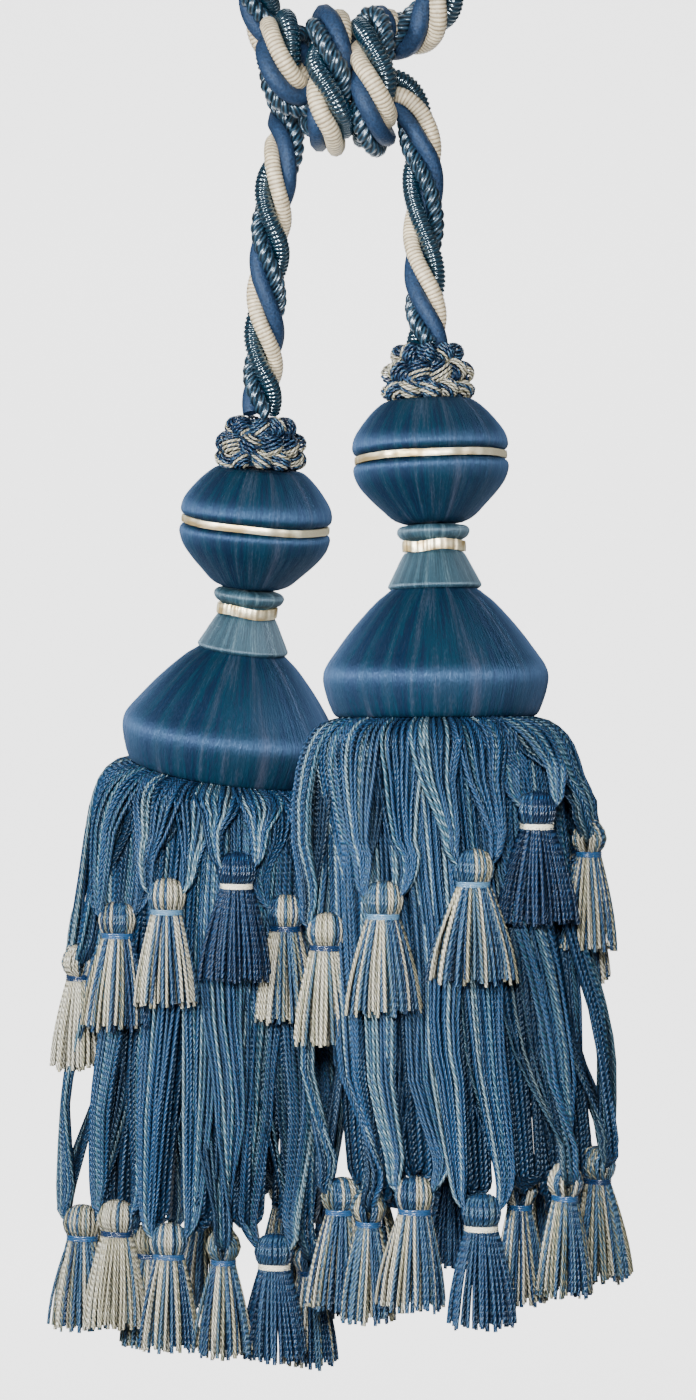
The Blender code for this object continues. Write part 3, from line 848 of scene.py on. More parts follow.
class YarnSweep:
    """Sweeps a round section along middle lines, with Geometry Nodes."""

    FINISH_COUNT = 4
    # painted light kept on a yarn's side that faces away from the bundle's outside, a painted shade
    SIDE_PAINTED_LIGHT = 0.34

    def __init__(self) -> None:
        """Builds the tree once; each use sets its inputs."""
        self.tree = bpy.data.node_groups.new("yarn_sweep", "GeometryNodeTree")
        graph = Graph(self.tree)
        sockets = self.tree.interface
        sockets.new_socket("Lines", in_out="INPUT", socket_type="NodeSocketGeometry")
        self.sides = sockets.new_socket("Sides", in_out="INPUT", socket_type="NodeSocketInt").identifier
        self.finish_inputs = [
            sockets.new_socket(f"Finish {i}", in_out="INPUT", socket_type="NodeSocketMaterial").identifier
            for i in range(self.FINISH_COUNT)
        ]
        sockets.new_socket("Yarns", in_out="OUTPUT", socket_type="NodeSocketGeometry")
        given = graph.add("NodeGroupInput")
        curves = graph.add("GeometryNodeMeshToCurve", None, {0: given.outputs["Lines"]})
        reach = graph.add(
            "GeometryNodeCaptureAttribute", {"captures": (("FLOAT", "Reach"),)},
            {0: curves.outputs[0], 1: graph.add("GeometryNodeSplineParameter").outputs["Length"]},
        )
        circle = graph.add("GeometryNodeCurvePrimitiveCircle", None, {0: given.outputs["Sides"], 4: 1.0})
        round_place = graph.add(
            "GeometryNodeCaptureAttribute", {"captures": (("VECTOR", "Round"),)},
            {0: circle.outputs[0], 1: graph.add("GeometryNodeInputPosition").outputs[0]},
        )
        swept = graph.add("GeometryNodeCurveToMesh", None, {
            0: reach.outputs[0], 1: round_place.outputs[0], 2: self._named(graph, "thick", "FLOAT"), 3: True,
        })
        parts = graph.add("ShaderNodeSeparateXYZ", None, {0: round_place.outputs[1]})
        spun = graph.add(
            "ShaderNodeCombineXYZ", None, {0: parts.outputs[0], 1: parts.outputs[1], 2: reach.outputs[1]},
        )
        stored = graph.add(
            "GeometryNodeStoreNamedAttribute", {"data_type": "FLOAT_VECTOR", "domain": "POINT"},
            {0: swept.outputs[0], "Name": "spun", "Value": spun.outputs[0]},
        )
        shown = graph.add("GeometryNodeSetShadeSmooth", None, {0: stored.outputs[0]})
        shown = graph.add("GeometryNodeRealizeInstances", None, {0: shown.outputs[0]})
        kind = self._named(graph, "finish", "INT")
        for i in range(self.FINISH_COUNT):
            chosen = graph.add(
                "FunctionNodeCompare", {"data_type": "INT", "operation": "EQUAL"}, {2: kind, 3: i},
            )
            shown = graph.add("GeometryNodeSetMaterial", None, {
                0: shown.outputs[0], 1: chosen.outputs[0], 2: given.outputs[f"Finish {i}"],
            })
        graph.add("NodeGroupOutput", None, {0: shown.outputs[0]})

    @staticmethod
    def _named(graph: Graph, name: str, kind: str) -> bpy.types.NodeSocket:
        """A named attribute's socket."""
        return graph.add("GeometryNodeInputNamedAttribute", {"data_type": kind}, {"Name": name}).outputs[0]

    def mesh(
        self, name: str, lines: Sequence[Line], sides: int, finishes: Sequence[bpy.types.Material],
    ) -> bpy.types.Mesh:
        """Sweeps lines into one plain mesh.

        Args:
            name: the mesh's name.
            lines: the middle lines.
            sides: number of sides of the round section.
            finishes: the materials that the lines' finish numbers choose from.

        Returns:
            The mesh, with the materials that it uses.
        """
        counts = [len(line.points) for line in lines]
        total = sum(counts)
        starts = np.cumsum([0, *counts[:-1]])
        edges = np.concatenate([
            start + np.column_stack([np.arange(n - 1), np.arange(1, n)]) for start, n in zip(starts, counts)
        ])
        wire = bpy.data.meshes.new(f"{name}_lines")
        wire.vertices.add(total)
        middle = [line.points for line in lines]
        wire.vertices.foreach_set("co", np.concatenate(middle).astype(np.float32).ravel())
        wire.edges.add(len(edges))
        wire.edges.foreach_set("vertices", edges.astype(np.int32).ravel())
        for attribute in ("thick", "tone", "crest"):
            values = np.concatenate([
                np.broadcast_to(np.asarray(getattr(line, attribute), np.float32), n)
                for line, n in zip(lines, counts)
            ])
            wire.attributes.new(attribute, "FLOAT", "POINT").data.foreach_set("value", values)
        outs = [np.broadcast_to(np.asarray(line.out, np.float32), (n, 3)) for line, n in zip(lines, counts)]
        for attribute, values in (("middle", middle), ("out", outs)):
            data = wire.attributes.new(attribute, "FLOAT_VECTOR", "POINT").data
            data.foreach_set("vector", np.concatenate(values).astype(np.float32).ravel())
        kinds = np.concatenate([np.full(n, line.finish, np.int32) for line, n in zip(lines, counts)])
        wire.attributes.new("finish", "INT", "POINT").data.foreach_set("value", kinds)
        holder = bpy.data.objects.new(f"{name}_holder", wire)
        bpy.context.scene.collection.objects.link(holder)
        modifier = holder.modifiers.new("sweep", "NODES")
        modifier.node_group = self.tree
        modifier[self.sides] = sides
        for identifier, material in zip(self.finish_inputs, finishes):
            modifier[identifier] = material
        graph = bpy.context.evaluated_depsgraph_get()
        mesh = bpy.data.meshes.new_from_object(
            holder.evaluated_get(graph), preserve_all_data_layers=True, depsgraph=graph,
        )
        mesh.name = name
        self._shade_sides(mesh)
        bpy.data.objects.remove(holder, do_unlink=True)
        bpy.data.meshes.remove(wire)
        return mesh

    def _shade_sides(self, mesh: bpy.types.Mesh) -> None:
        """Lowers the painted light on a yarn's sides and back: painted shade where its neighbours keep the
        light off.

        Args:
            mesh: the swept mesh, which loses its middle and out attributes.
        """
        count = len(mesh.vertices)
        read = {"co": np.empty(count * 3, np.float32)}
        mesh.vertices.foreach_get("co", read["co"])
        for name in ("middle", "out"):
            read[name] = np.empty(count * 3, np.float32)
            mesh.attributes[name].data.foreach_get("vector", read[name])
            mesh.attributes.remove(mesh.attributes[name])
        points, middle, out = (read[name].reshape(-1, 3) for name in ("co", "middle", "out"))
        away = points - middle
        away /= np.linalg.norm(away, axis=1, keepdims=True) + 1e-9
        facing = np.clip((away * out).sum(axis=1), 0, 1)
        crest = np.empty(count, np.float32)
        mesh.attributes["crest"].data.foreach_get("value", crest)
        # painted shade: the further a point faces from the way out, the darker
        shade = self.SIDE_PAINTED_LIGHT + (1 - self.SIDE_PAINTED_LIGHT) * facing
        crest *= np.where(np.linalg.norm(out, axis=1) > 0.5, shade, 1.0)
        mesh.attributes["crest"].data.foreach_set("value", crest)


def ring_faces(lower: int, upper: int, count: int) -> list[tuple[int, int, int, int]]:
    """The quads between two rings of points, facing out when the second ring lies ahead."""
    return [(lower + i, lower + (i + 1) % count, upper + (i + 1) % count, upper + i) for i in range(count)]


@dataclass
class TurnedShape:
    """A closed solid turned about Z and placed, with fine relief that runs down it.

    Attributes:
        runs: its outline's smooth runs, top to bottom.
        matrix: its place.
        segments: points round it.
        row_step: distance between two rows, in metres.
        relief: how far the threads stand out and in, in metres.
        seed: of the relief.
    """

    runs: Sequence[Sequence[Turn]]
    matrix: Matrix
    segments: int = 160
    row_step: float = 0.9 * MM
    relief: float = 0.05 * MM
    seed: int = 1

    def mesh(self, name: str, material: bpy.types.Material) -> bpy.types.Mesh:
        """The solid as a mesh with the wound attribute.

        Args:
            name: the mesh's name.
            material: its finish.

        Returns:
            The mesh in its place.
        """
        rows = np.concatenate([self._run_rows(run) for run in self.runs])
        draws = np.random.default_rng(self.seed)
        angles = np.arange(self.segments) * FULL_TURN / self.segments
        columns = draws.normal(0, 1, self.segments)
        fine = draws.normal(0, 0.35, (len(rows), self.segments))
        radius = rows[:, 0:1] + (columns[None, :] + fine) * self.relief
        along = np.concatenate([[0.0], np.cumsum(np.linalg.norm(np.diff(rows, axis=0), axis=1))])
        points = np.stack([
            radius * np.cos(angles), radius * np.sin(angles), np.broadcast_to(rows[:, 1:2], radius.shape),
        ], axis=-1).reshape(-1, 3)
        wound = np.stack([
            np.broadcast_to(np.cos(angles), radius.shape), np.broadcast_to(np.sin(angles), radius.shape),
            np.broadcast_to(along[:, None], radius.shape),
        ], axis=-1).reshape(-1, 3)
        faces: list[tuple[int, ...]] = [tuple(range(self.segments))]
        for row in range(1, len(rows)):
            faces += ring_faces(row * self.segments, (row - 1) * self.segments, self.segments)
        last = (len(rows) - 1) * self.segments
        faces.append(tuple(reversed(range(last, last + self.segments))))
        return placed_mesh(name, points, faces, self.matrix, material, wound)

    def _run_rows(self, run: Sequence[Turn]) -> np.ndarray:
        """A smooth run's rows of radius and height in metres.

        Args:
            run: a smooth run of the outline.

        Returns:
            An array of rows.
        """
        stops = np.array(run, float) * MM
        length = np.linalg.norm(np.diff(stops, axis=0), axis=1).sum()
        return through(stops, max(len(run), round(length / self.row_step)))


def placed_mesh(
    name: str,
    points: np.ndarray,
    faces: Sequence[tuple[int, ...]],
    matrix: Matrix,
    material: bpy.types.Material,
    wound: np.ndarray | None = None,
) -> bpy.types.Mesh:
    """A mesh whose place is in its points.

    Args:
        name: the mesh's name.
        points: its points before it is placed.
        faces: its faces, pointing out.
        matrix: where it goes.
        material: its finish.
        wound: the wound attribute at each point, if the finish reads one.

    Returns:
        The mesh.
    """
    mesh = bpy.data.meshes.new(name)
    mesh.from_pydata(points.tolist(), [], faces)
    mesh.transform(matrix)
    mesh.materials.append(material)
    mesh.shade_smooth()
    if wound is not None:
        data = mesh.attributes.new("wound", "FLOAT_VECTOR", "POINT").data
        data.foreach_set("vector", wound.astype(np.float32).ravel())
    mesh.update()
    return mesh


def piece(
    name: str, meshes: Sequence[bpy.types.Mesh], replaced: Sequence[str],
) -> bpy.types.Object:
    """One finished piece of the object at the origin.

    Args:
        name: its name.
        meshes: what it is joined from.
        replaced: the solids that it stands for.

    Returns:
        The piece, riding on the body.
    """
    parts = []
    for mesh in meshes:
        part = bpy.data.objects.new(name, mesh)
        bpy.context.scene.collection.objects.link(part)
        parts.append(part)
    made = parts[0]
    if len(parts) > 1:
        with bpy.context.temp_override(active_object=made, selected_editable_objects=parts):
            bpy.ops.object.join()
    made.name = name
    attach(made, BODY)
    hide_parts(*replaced)
    log.info("%s: %d faces", name, len(made.data.polygons))
    return made


# ---------------------------------------------------------------- studio


@dataclass
class Studio:
    """The camera at the photo's angle, soft lights and a plain pale floor.

    Attributes:
        eye: the camera's place, level with the tassels' necks.
        middle: the point at the picture's middle.
        picture_height: height of what the picture shows at the object, in metres.
        floor_height: height of the floor, below the tassels.
        sky: colour of the light from all sides.
        sky_strength: its strength.
    """

    eye: Vector = field(default_factory=lambda: Vector(EYE))
    middle: Vector = field(default_factory=lambda: Vector((-0.56 * MM, 0, -243.6 * MM)))
    picture_height: float = 392 * MM
    floor_height: float = -800 * MM
    sky: Colour = (0.92, 0.96, 1.0)
    sky_strength: float = 0.10

    def build(self) -> None:
        """Makes the camera, the lights, the world and the floor."""
        self._camera()
        self._light("key_light", (-0.06, -1.28, -0.02), (0.20, 0.16), 3.0, 60)
        self._light("side_light", (-0.92, -0.95, 0.02), (0.22, 0.20), 2.7, 60)
        self._light("top_light", (0.15, 0.10, 0.85), (0.50, 0.50), 0.6, 120)
        world = bpy.data.worlds.new("soft_daylight")
        world.use_nodes = True
        background = world.node_tree.nodes["Background"]
        background.inputs["Color"].default_value = opaque(self.sky)
        background.inputs["Strength"].default_value = self.sky_strength
        bpy.context.scene.world = world
        self._floor()

    def _camera(self) -> None:
        """Places the camera."""
        data = bpy.data.cameras.new("camera")
        distance = (self.middle - self.eye).length
        data.sensor_fit = "VERTICAL"
        data.lens = data.sensor_height * distance / self.picture_height
        camera = bpy.data.objects.new("camera", data)
        camera.location = self.eye
        camera.rotation_euler = (self.middle - self.eye).to_track_quat("-Z", "Y").to_euler()
        bpy.context.scene.collection.objects.link(camera)
        bpy.context.scene.camera = camera

    def _light(
        self,
        name: str,
        place: tuple[float, float, float],
        size: tuple[float, float],
        power: float,
        spread: float,
    ) -> None:
        """Places a soft box that faces the picture's middle.

        Args:
            name: the light's name.
            place: its place, in metres.
            size: its width and height.
            power: in watts.
            spread: the whole angle in degrees into which its grid lets it shine.
        """
        data = bpy.data.lights.new(name, "AREA")
        data.shape = "RECTANGLE"
        data.size, data.size_y = size
        data.energy = power
        data.spread = math.radians(spread)
        light = bpy.data.objects.new(name, data)
        light.location = place
        light.rotation_euler = (self.middle - Vector(place)).to_track_quat("-Z", "Y").to_euler()
        bpy.context.scene.collection.objects.link(light)

    def _floor(self) -> None:
        """Makes the floor, which turns up into the wall behind in one curve."""
        half_width, front, back, height, bend = 5.0, -3.0, 3.2, 4.6, 0.9
        outline = [(front, self.floor_height), (back - bend, self.floor_height)]
        steps = 12
        for i in range(1, steps + 1):
            angle = math.pi / 2 * i / steps
            outline.append((
                back - bend + bend * math.sin(angle), self.floor_height + bend * (1 - math.cos(angle)),
            ))
        outline.append((back, self.floor_height + height))
        points = np.array([(x, y, z) for y, z in outline for x in (-half_width, half_width)])
        faces = [(2 * i, 2 * i + 1, 2 * i + 3, 2 * i + 2) for i in range(len(outline) - 1)]
        mesh = placed_mesh("pale_floor", points, faces, Matrix.Identity(4), PaleFloorFinish().build())
        floor = bpy.data.objects.new("pale_floor", mesh)
        bpy.context.scene.collection.objects.link(floor)


# ---------------------------------------------------------------- rope


class StrandKind(Enum):
    """The rope's strands, in the order in which they come to the front along it."""

    IVORY_GIMP = 0
    SMOOTH_BLUE = 1
    BEAD_CORD = 2
    NAVY_GIMP = 3


# At which lengths along the rope each strand faces the viewer, in mm from the left tassel.
FACING: dict[StrandKind, tuple[float, ...]] = {
    StrandKind.IVORY_GIMP: (23.5, 65.5, 266.5, 316.5, 421.5, 487.5, 534.5, 586.5),
    StrandKind.SMOOTH_BLUE: (33.5, 75.5, 274.5, 324.5, 392.5, 430.5, 497.5, 548.5, 596.5),
    StrandKind.BEAD_CORD: (2.5, 43.5, 119.5, 282.5, 295.5, 334.5, 403.5, 557.5, 604.5),
    StrandKind.NAVY_GIMP: (12.5, 54.5, 307.5, 412.5, 573.5),
}
# How much fuller the rope is than usual at which length along it, in mm: the knot's wraps bulge.
FULLNESS: list[tuple[float, float]] = [
    (0, 1.0), (258.5, 1.0), (270.5, 1.2), (288.5, 1.2), (296.5, 1.13), (330.5, 1.13), (342.5, 1.0),
    (380.5, 1.0), (392.5, 1.13), (428.5, 1.13), (442.5, 1.0), (466.5, 1.0), (480.5, 1.10), (500.5, 1.10),
    (512.5, 1.0), (606, 1.0),
]


class StrandPlace(NamedTuple):
    """A strand's place in the rope: its angle in degrees, and its reach and radius in mm."""

    angle: float
    reach: float
    radius: float


class Rib(NamedTuple):
    """A gimp strand's ribs: their pitch in metres, their depth as a share of the radius, and their points."""

    pitch: float
    depth: float
    points: int


@dataclass
class Rope:
    """One knotted rope of four different strands, from the left tassel to the right one.

    Attributes:
        diameter: of the whole rope; not used.
        lay: usual length of one full turn of its left-handed twist.
        places: the strands' places in its section.
        ivory_rib: the ivory strand's ribs.
        navy_rib: the ribs of the dark shiny strand.
        bead_lay: length of one turn of the two plies that make the beads.
        ply_reach: distance of such a ply from the strand's middle, as a share of the strand's radius.
        ply_radius: radius of such a ply, as the same share.
        core_radius: of the thread that fills the rope's middle, coloured all over in the strands' painted
            shade.
    """

    diameter: float = ROPE_DIAMETER
    lay: float = 42.0 * MM
    places: dict[StrandKind, StrandPlace] = field(default_factory=lambda: {
        StrandKind.IVORY_GIMP: StrandPlace(0, 3.66, 2.28),
        StrandKind.SMOOTH_BLUE: StrandPlace(82, 3.62, 2.30),
        StrandKind.BEAD_CORD: StrandPlace(161, 3.56, 2.38),
        StrandKind.NAVY_GIMP: StrandPlace(266, 3.34, 2.62),
    })
    ivory_rib: Rib = Rib(1.05 * MM, 0.08, 4)
    navy_rib: Rib = Rib(1.22 * MM, 0.20, 5)
    bead_lay: float = 5.7 * MM
    ply_reach: float = 0.47
    ply_radius: float = 0.55
    core_radius: float = 1.5 * MM
    path: np.ndarray = field(init=False)
    turned: np.ndarray = field(init=False)
    full: np.ndarray = field(init=False)

    def __post_init__(self) -> None:
        """Works out the rope's middle line from its route, as the solid's was, its twist and its fullness."""
        self.path = self._route()
        self.turned = self._twist()
        self.full = np.interp(self.reach / MM, *zip(*FULLNESS))

    @staticmethod
    def _route() -> np.ndarray:
        """The middle line at fine even steps."""
        stops = np.array(ROPE_ROUTE_MM, float) * MM
        stops = np.vstack([2 * stops[0] - stops[1], stops, 2 * stops[-1] - stops[-2]])
        dense = []
        for p0, p1, p2, p3 in zip(stops, stops[1:], stops[2:], stops[3:]):
            knots = [0.0]
            for a, b in ((p0, p1), (p1, p2), (p2, p3)):
                knots.append(knots[-1] + math.sqrt(np.linalg.norm(b - a)))
            t0, t1, t2, t3 = knots
            for i in range(12):
                t = t1 + (t2 - t1) * i / 12
                a1 = p0 + (p1 - p0) * (t - t0) / (t1 - t0)
                a2 = p1 + (p2 - p1) * (t - t1) / (t2 - t1)
                a3 = p2 + (p3 - p2) * (t - t2) / (t3 - t2)
                b1 = a1 + (a2 - a1) * (t - t0) / (t2 - t0)
                b2 = a2 + (a3 - a2) * (t - t1) / (t3 - t1)
                dense.append(b1 + (b2 - b1) * (t - t1) / (t2 - t1))
        dense.append(stops[-2])
        coarse = relaxed(even_steps(np.array(dense), 1.5 * MM), 10)
        return relaxed(even_steps(coarse, 0.3 * MM), 12)

    @property
    def reach(self) -> np.ndarray:
        """The length of rope up to each point of its middle line."""
        return np.concatenate([[0.0], np.cumsum(np.linalg.norm(np.diff(self.path, axis=0), axis=1))])

    def _twist(self) -> np.ndarray:
        """How far the section has turned at each point, so that the right strands face the viewer."""
        sides, others = carried_frames(self.path)
        view = np.array(EYE) - self.path
        front = np.arctan2((view * others).sum(axis=1), (view * sides).sum(axis=1))
        reach = self.reach
        knots, turns = [], []
        faced = [(along * MM, kind) for kind, places in FACING.items() for along in places]
        for at, kind in sorted(faced, key=lambda place: place[0]):
            i = min(int(np.searchsorted(reach, at)), len(reach) - 1)
            turn = front[i] - math.radians(self.places[kind].angle)
            if turns:
                expected = turns[-1] - FULL_TURN * (at - knots[-1]) / self.lay
                turn += FULL_TURN * round((expected - turn) / FULL_TURN)
            knots.append(at)
            turns.append(turn)
        rate = FULL_TURN / self.lay
        knots = [0.0, *knots, reach[-1]]
        turns = [turns[0] + rate * knots[1], *turns, turns[-1] - rate * (reach[-1] - knots[-2])]
        return np.interp(reach, knots, turns)

    def _strand_line(self, kind: StrandKind, step: float) -> tuple[np.ndarray, np.ndarray]:
        """One strand at even steps: its middle line, and its radius at each point.

        Args:
            kind: the strand.
            step: distance between two points.

        Returns:
            The points, and the radius at each.
        """
        sides, others = carried_frames(self.path)
        place = self.places[kind]
        angle = self.turned + math.radians(place.angle)
        out = sides * np.cos(angle)[:, None] + others * np.sin(angle)[:, None]
        line = relaxed(self.path + out * (place.reach * MM * self.full)[:, None], 30)
        points = even_steps(line, step)
        full = np.interp(np.linspace(0, 1, len(points)), np.linspace(0, 1, len(self.full)), self.full)
        return points, place.radius * MM * full

    def _ribbed(self, kind: StrandKind, rib: Rib) -> Line:
        """A gimp strand: a core closely wrapped in cover yarn, which stands in ribs.

        Args:
            kind: the strand.
            rib: its ribs.

        Returns:
            The strand's line.
        """
        points, radius = self._strand_line(kind, rib.pitch / rib.points)
        # the ribs' profile sets the radius and also the painted light: painted shade between ribs
        crest = np.abs(np.sin(np.arange(len(points)) * math.pi / rib.points))
        return Line(points, radius * (1 - rib.depth * (1 - crest)), finish=kind.value, crest=crest)

    def _beads(self, kind: StrandKind) -> list[Line]:
        """A cord of two plies, twisted against the rope, whose turns stand like slanting beads.

        Args:
            kind: the strand.

        Returns:
            A line for each ply.
        """
        step = self.bead_lay / 12
        points, radius = self._strand_line(kind, step)
        sides, others = carried_frames(points)
        reach = np.arange(len(points)) * step
        lines = []
        for ply in range(2):
            angle = FULL_TURN * reach / self.bead_lay + ply * math.pi
            out = sides * np.cos(angle)[:, None] + others * np.sin(angle)[:, None]
            middle = points + out * (radius * self.ply_reach)[:, None]
            lines.append(Line(middle, radius * self.ply_radius, finish=kind.value))
        return lines

    def build(self, sweep: YarnSweep, finishes: Finishes) -> bpy.types.Object:
        """Args:
            sweep: makes the strands round.
            finishes: the object's materials.

        Returns:
            The rope.
        """
        blue = StrandKind.SMOOTH_BLUE
        smooth = Line(*self._strand_line(blue, 1.2 * MM), finish=blue.value)
        # the core takes the painted shade colour all over, dark where the view reaches between the strands
        core = Line(even_steps(self.path, 3 * MM), self.core_radius, finish=blue.value, crest=0.0)
        ribbed = [
            self._ribbed(StrandKind.IVORY_GIMP, self.ivory_rib),
            self._ribbed(StrandKind.NAVY_GIMP, self.navy_rib),
        ]
        meshes = [
            sweep.mesh("rope", ribbed, 10, finishes.strands),
            sweep.mesh("rope_smooth", [smooth, core], 8, finishes.strands),
            sweep.mesh("rope_beads", self._beads(StrandKind.BEAD_CORD), 7, finishes.strands),
        ]
        rope = piece("rope_strands", meshes, ["rope"])
        path = even_steps(self.path, 2 * MM)
        return rope


# ---------------------------------------------------------------- large tassels


def hanging(place: Vector, lean: Lean) -> Matrix:
    """The matrix of a piece at a place that leans.

    Args:
        place: the piece's zero.
        lean: how it leans.

    Returns:
        The matrix.
    """
    back = Matrix.Rotation(math.radians(lean.back), 4, "X")
    side = Matrix.Rotation(-math.radians(lean.side), 4, "Y")
    return Matrix.Translation(place) @ (back @ side)


def below(place: Vector, lean: Lean, drop: float) -> Vector:
    """The point that lies a distance down a piece's own axis."""
    return hanging(place, lean) @ Vector((0, 0, -drop))


def seat(upper: Lean, lower: Lean, radius: float) -> float:
    """The gap that keeps a piece clear of the one above it when their axes lean apart."""
    return GAP + radius * math.sin(math.radians(abs(upper.side - lower.side) + abs(upper.back - lower.back)))


@dataclass
class Ruche:
    """The ruff of fat looped yarn where the rope enters the head.

    Attributes:
        name: the piece's name.
        matrix: its place, with its foot at zero.
        seed: of its unevenness.
        yarn_radius: of the looped yarn.
        press: how far the rows are pressed together, 1 for not at all.
        strands: number of yarns side by side in a loop.
        rows: for each row of loops their number, distance from the middle, height, and the half width,
            half height and bulge of a loop, in mm.
        tilts: how far a loop of each row may slant, in degrees.
        ivory_runs: how many of a loop's yarns may be ivory in each row, of which one number is drawn.
    """

    name: str
    matrix: Matrix
    seed: int
    press: float = 1.0
    yarn_radius: float = 0.44 * MM
    rows: tuple[tuple[int, float, float, float, float, float], ...] = (
        (9, 7.2, 12.8, 2.9, 2.6, 2.9),
        (10, 8.9, 7.5, 3.3, 3.0, 3.9),
        (11, 9.5, 2.4, 3.1, 2.3, 3.5),
    )
    strands: int = 8
    tilts: tuple[float, ...] = (70, 62, 44)
    ivory_runs: tuple[tuple[int, ...], ...] = ((1, 1, 2), (2, 3, 4), (3, 3, 5))

    def build(self, sweep: YarnSweep, finishes: Finishes, replaced: str) -> bpy.types.Object:
        """Makes the ruff: its loops and the core under them.

        Args:
            sweep: makes the yarns round.
            finishes: the object's materials.
            replaced: the solid that it stands for.

        Returns:
            The ruff.
        """
        draws = random.Random(self.seed)
        lines = []
        for row, (count, radius, height, width, tall, bulge) in enumerate(self.rows):
            for i in range(count):
                angle = 360 * (i + 0.5 * (row % 2) + draws.uniform(-0.12, 0.12)) / count
                out, along = around(angle), around(angle + 90)
                middle = out * radius * MM
                middle.z = (height + draws.uniform(-0.4, 0.4)) * self.press * MM
                tilt = math.radians(draws.choice((-1, 1)) * draws.uniform(0.2, 1) * self.tilts[row])
                lines += self._loop(draws, row, middle, out, along, tilt, (width, tall, bulge))
        core = TurnedShape(RUCHE_CORE, self.matrix, 40, 1.5 * MM, 0.0)
        mesh = sweep.mesh(self.name, lines, 5, [finishes.ruche_yarn])
        meshes = [mesh, core.mesh(f"{self.name}_core", finishes.wound_satin)]
        return piece(self.name, meshes, [replaced])

    def _loop(
        self,
        draws: random.Random,
        row: int,
        middle: Vector,
        out: Vector,
        along: Vector,
        tilt: float,
        size: tuple[float, float, float],
    ) -> list[Line]:
        """The yarns that lie side by side over one loop.

        Args:
            draws: the ruff's unevenness.
            row: the loop's row, from the top.
            middle: the loop's middle.
            out: the way out of the ruff.
            along: the way round it.
            tilt: how far the loop slants, in radians.
            size: its half width, half height and bulge, in mm.

        Returns:
            A line for each yarn.
        """
        width, tall, bulge = (value * MM for value in size)
        across = along * math.cos(tilt) + Vector((0, 0, 1)) * math.sin(tilt)
        over = Vector((0, 0, 1)) * math.cos(tilt) - along * math.sin(tilt)
        lines = []
        strands = self.strands
        first, run = draws.randrange(strands), draws.choice(self.ivory_runs[row])
        blue = draws.uniform(0.06, 0.26)
        # painted shade: a loop's yarns darken towards their ends, which dive into the crevices
        crest = np.cos(np.linspace(-1.5, 1.5, 11)) ** 1.3
        for k in range(strands):
            level = math.radians(-78 + 156 * k / (strands - 1))
            ivory = (k - first) * 3 % strands < run if row == 2 else (k - first) % strands < run
            tone = draws.uniform(0.84, 1.0) if ivory else blue + draws.uniform(-0.05, 0.08)
            stops = []
            for j in range(7):
                turn = math.radians(-122 + 244 * j / 6)
                reach = across * math.sin(turn) * width + out * math.cos(turn) * bulge
                stops.append(self.matrix @ (middle + reach * math.cos(level) + over * math.sin(level) * tall))
            thick = self.yarn_radius * draws.uniform(0.85, 1.15)
            points = through(stops, 11)
            # painted shade: darker still towards the loop's top and bottom
            shown = crest * (0.30 + 0.70 * math.cos(level))
            lines.append(Line(points, thick, tone, crest=shown, out=away_from(points, self.matrix @ middle)))
        return lines


@dataclass
class Ribbon:
    """A narrow satin ribbon laid round a groove, a little creased.

    Attributes:
        name: the piece's name.
        matrix: its place.
        radius: of its outer face.
        edges: heights of its lower and upper edge.
        thickness: of the ribbon with its fold.
        seed: of its creases.
        sway: height of its few long waves up and down.
        crease: depth of its many short creases.
        crown: how far its middle stands out.
    """

    name: str
    matrix: Matrix
    radius: float
    edges: tuple[float, float]
    thickness: float
    seed: int
    sway: float = 0.12 * MM
    crease: float = 0.035 * MM
    crown: float = 0.12 * MM

    def build(self, finishes: Finishes, replaced: str) -> bpy.types.Object:
        """Makes the ribbon as a closed band.

        Args:
            finishes: the object's materials.
            replaced: the solid that it stands for.

        Returns:
            The ribbon.
        """
        segments, rows = 180, 6
        draws = np.random.default_rng(self.seed)
        angles = np.arange(segments) * FULL_TURN / segments
        low, high = self.edges
        sway, crease = (
            sum(draws.normal(0, height) * np.sin(k * angles + draws.uniform(0, FULL_TURN)) for k in waves)
            for height, waves in ((self.sway, range(1, 6)), (self.crease, range(6, 34)))
        )
        section = [(self.radius, low + (high - low) * i / (rows - 1)) for i in range(rows)]
        crown = [self.crown * math.sin(math.pi * i / (rows - 1)) for i in range(rows)]
        section += [(self.radius - self.thickness, high), (self.radius - self.thickness, low)]
        crown += [0.0, 0.0]
        points, wound = [], []
        for (radius, height), raised in zip(section, crown):
            ring = radius + raised + crease * (radius == self.radius)
            points.append(np.stack([ring * np.cos(angles), ring * np.sin(angles), height + sway], axis=-1))
            wound.append(np.stack([np.cos(angles), np.sin(angles), np.full(segments, height)], axis=-1))
        faces = []
        for row in range(len(section)):
            faces += ring_faces(row * segments, (row + 1) % len(section) * segments, segments)
        mesh = placed_mesh(
            self.name, np.concatenate(points), faces, self.matrix, finishes.ribbon, np.concatenate(wound),
        )
        mesh.set_sharp_from_angle(angle=math.radians(50))
        return piece(self.name, [mesh], [replaced])


class Hold(NamedTuple):
    """Where a leg's yarn passes at a small tassel's head, from its tie, in mm.

    It lies aside, and aside and higher by fan and rise where it is an outer yarn. Deep is the share of its
    own depth in the leg that it keeps there, and back is how far it lies behind.
    """

    aside: float
    fan: float
    deep: float
    back: float
    high: float
    rise: float = 0.0


class Wave(NamedTuple):
    """A yarn's wave to the side: its height in mm, where it starts and how fast it goes."""

    height: float
    start: float
    rate: float

    def at(self, drop: float, length: float) -> float:
        """How far the yarn stands aside at a drop, for a length in which the wave goes by its rate."""
        return self.height * math.sin(self.start + self.rate * drop / length)


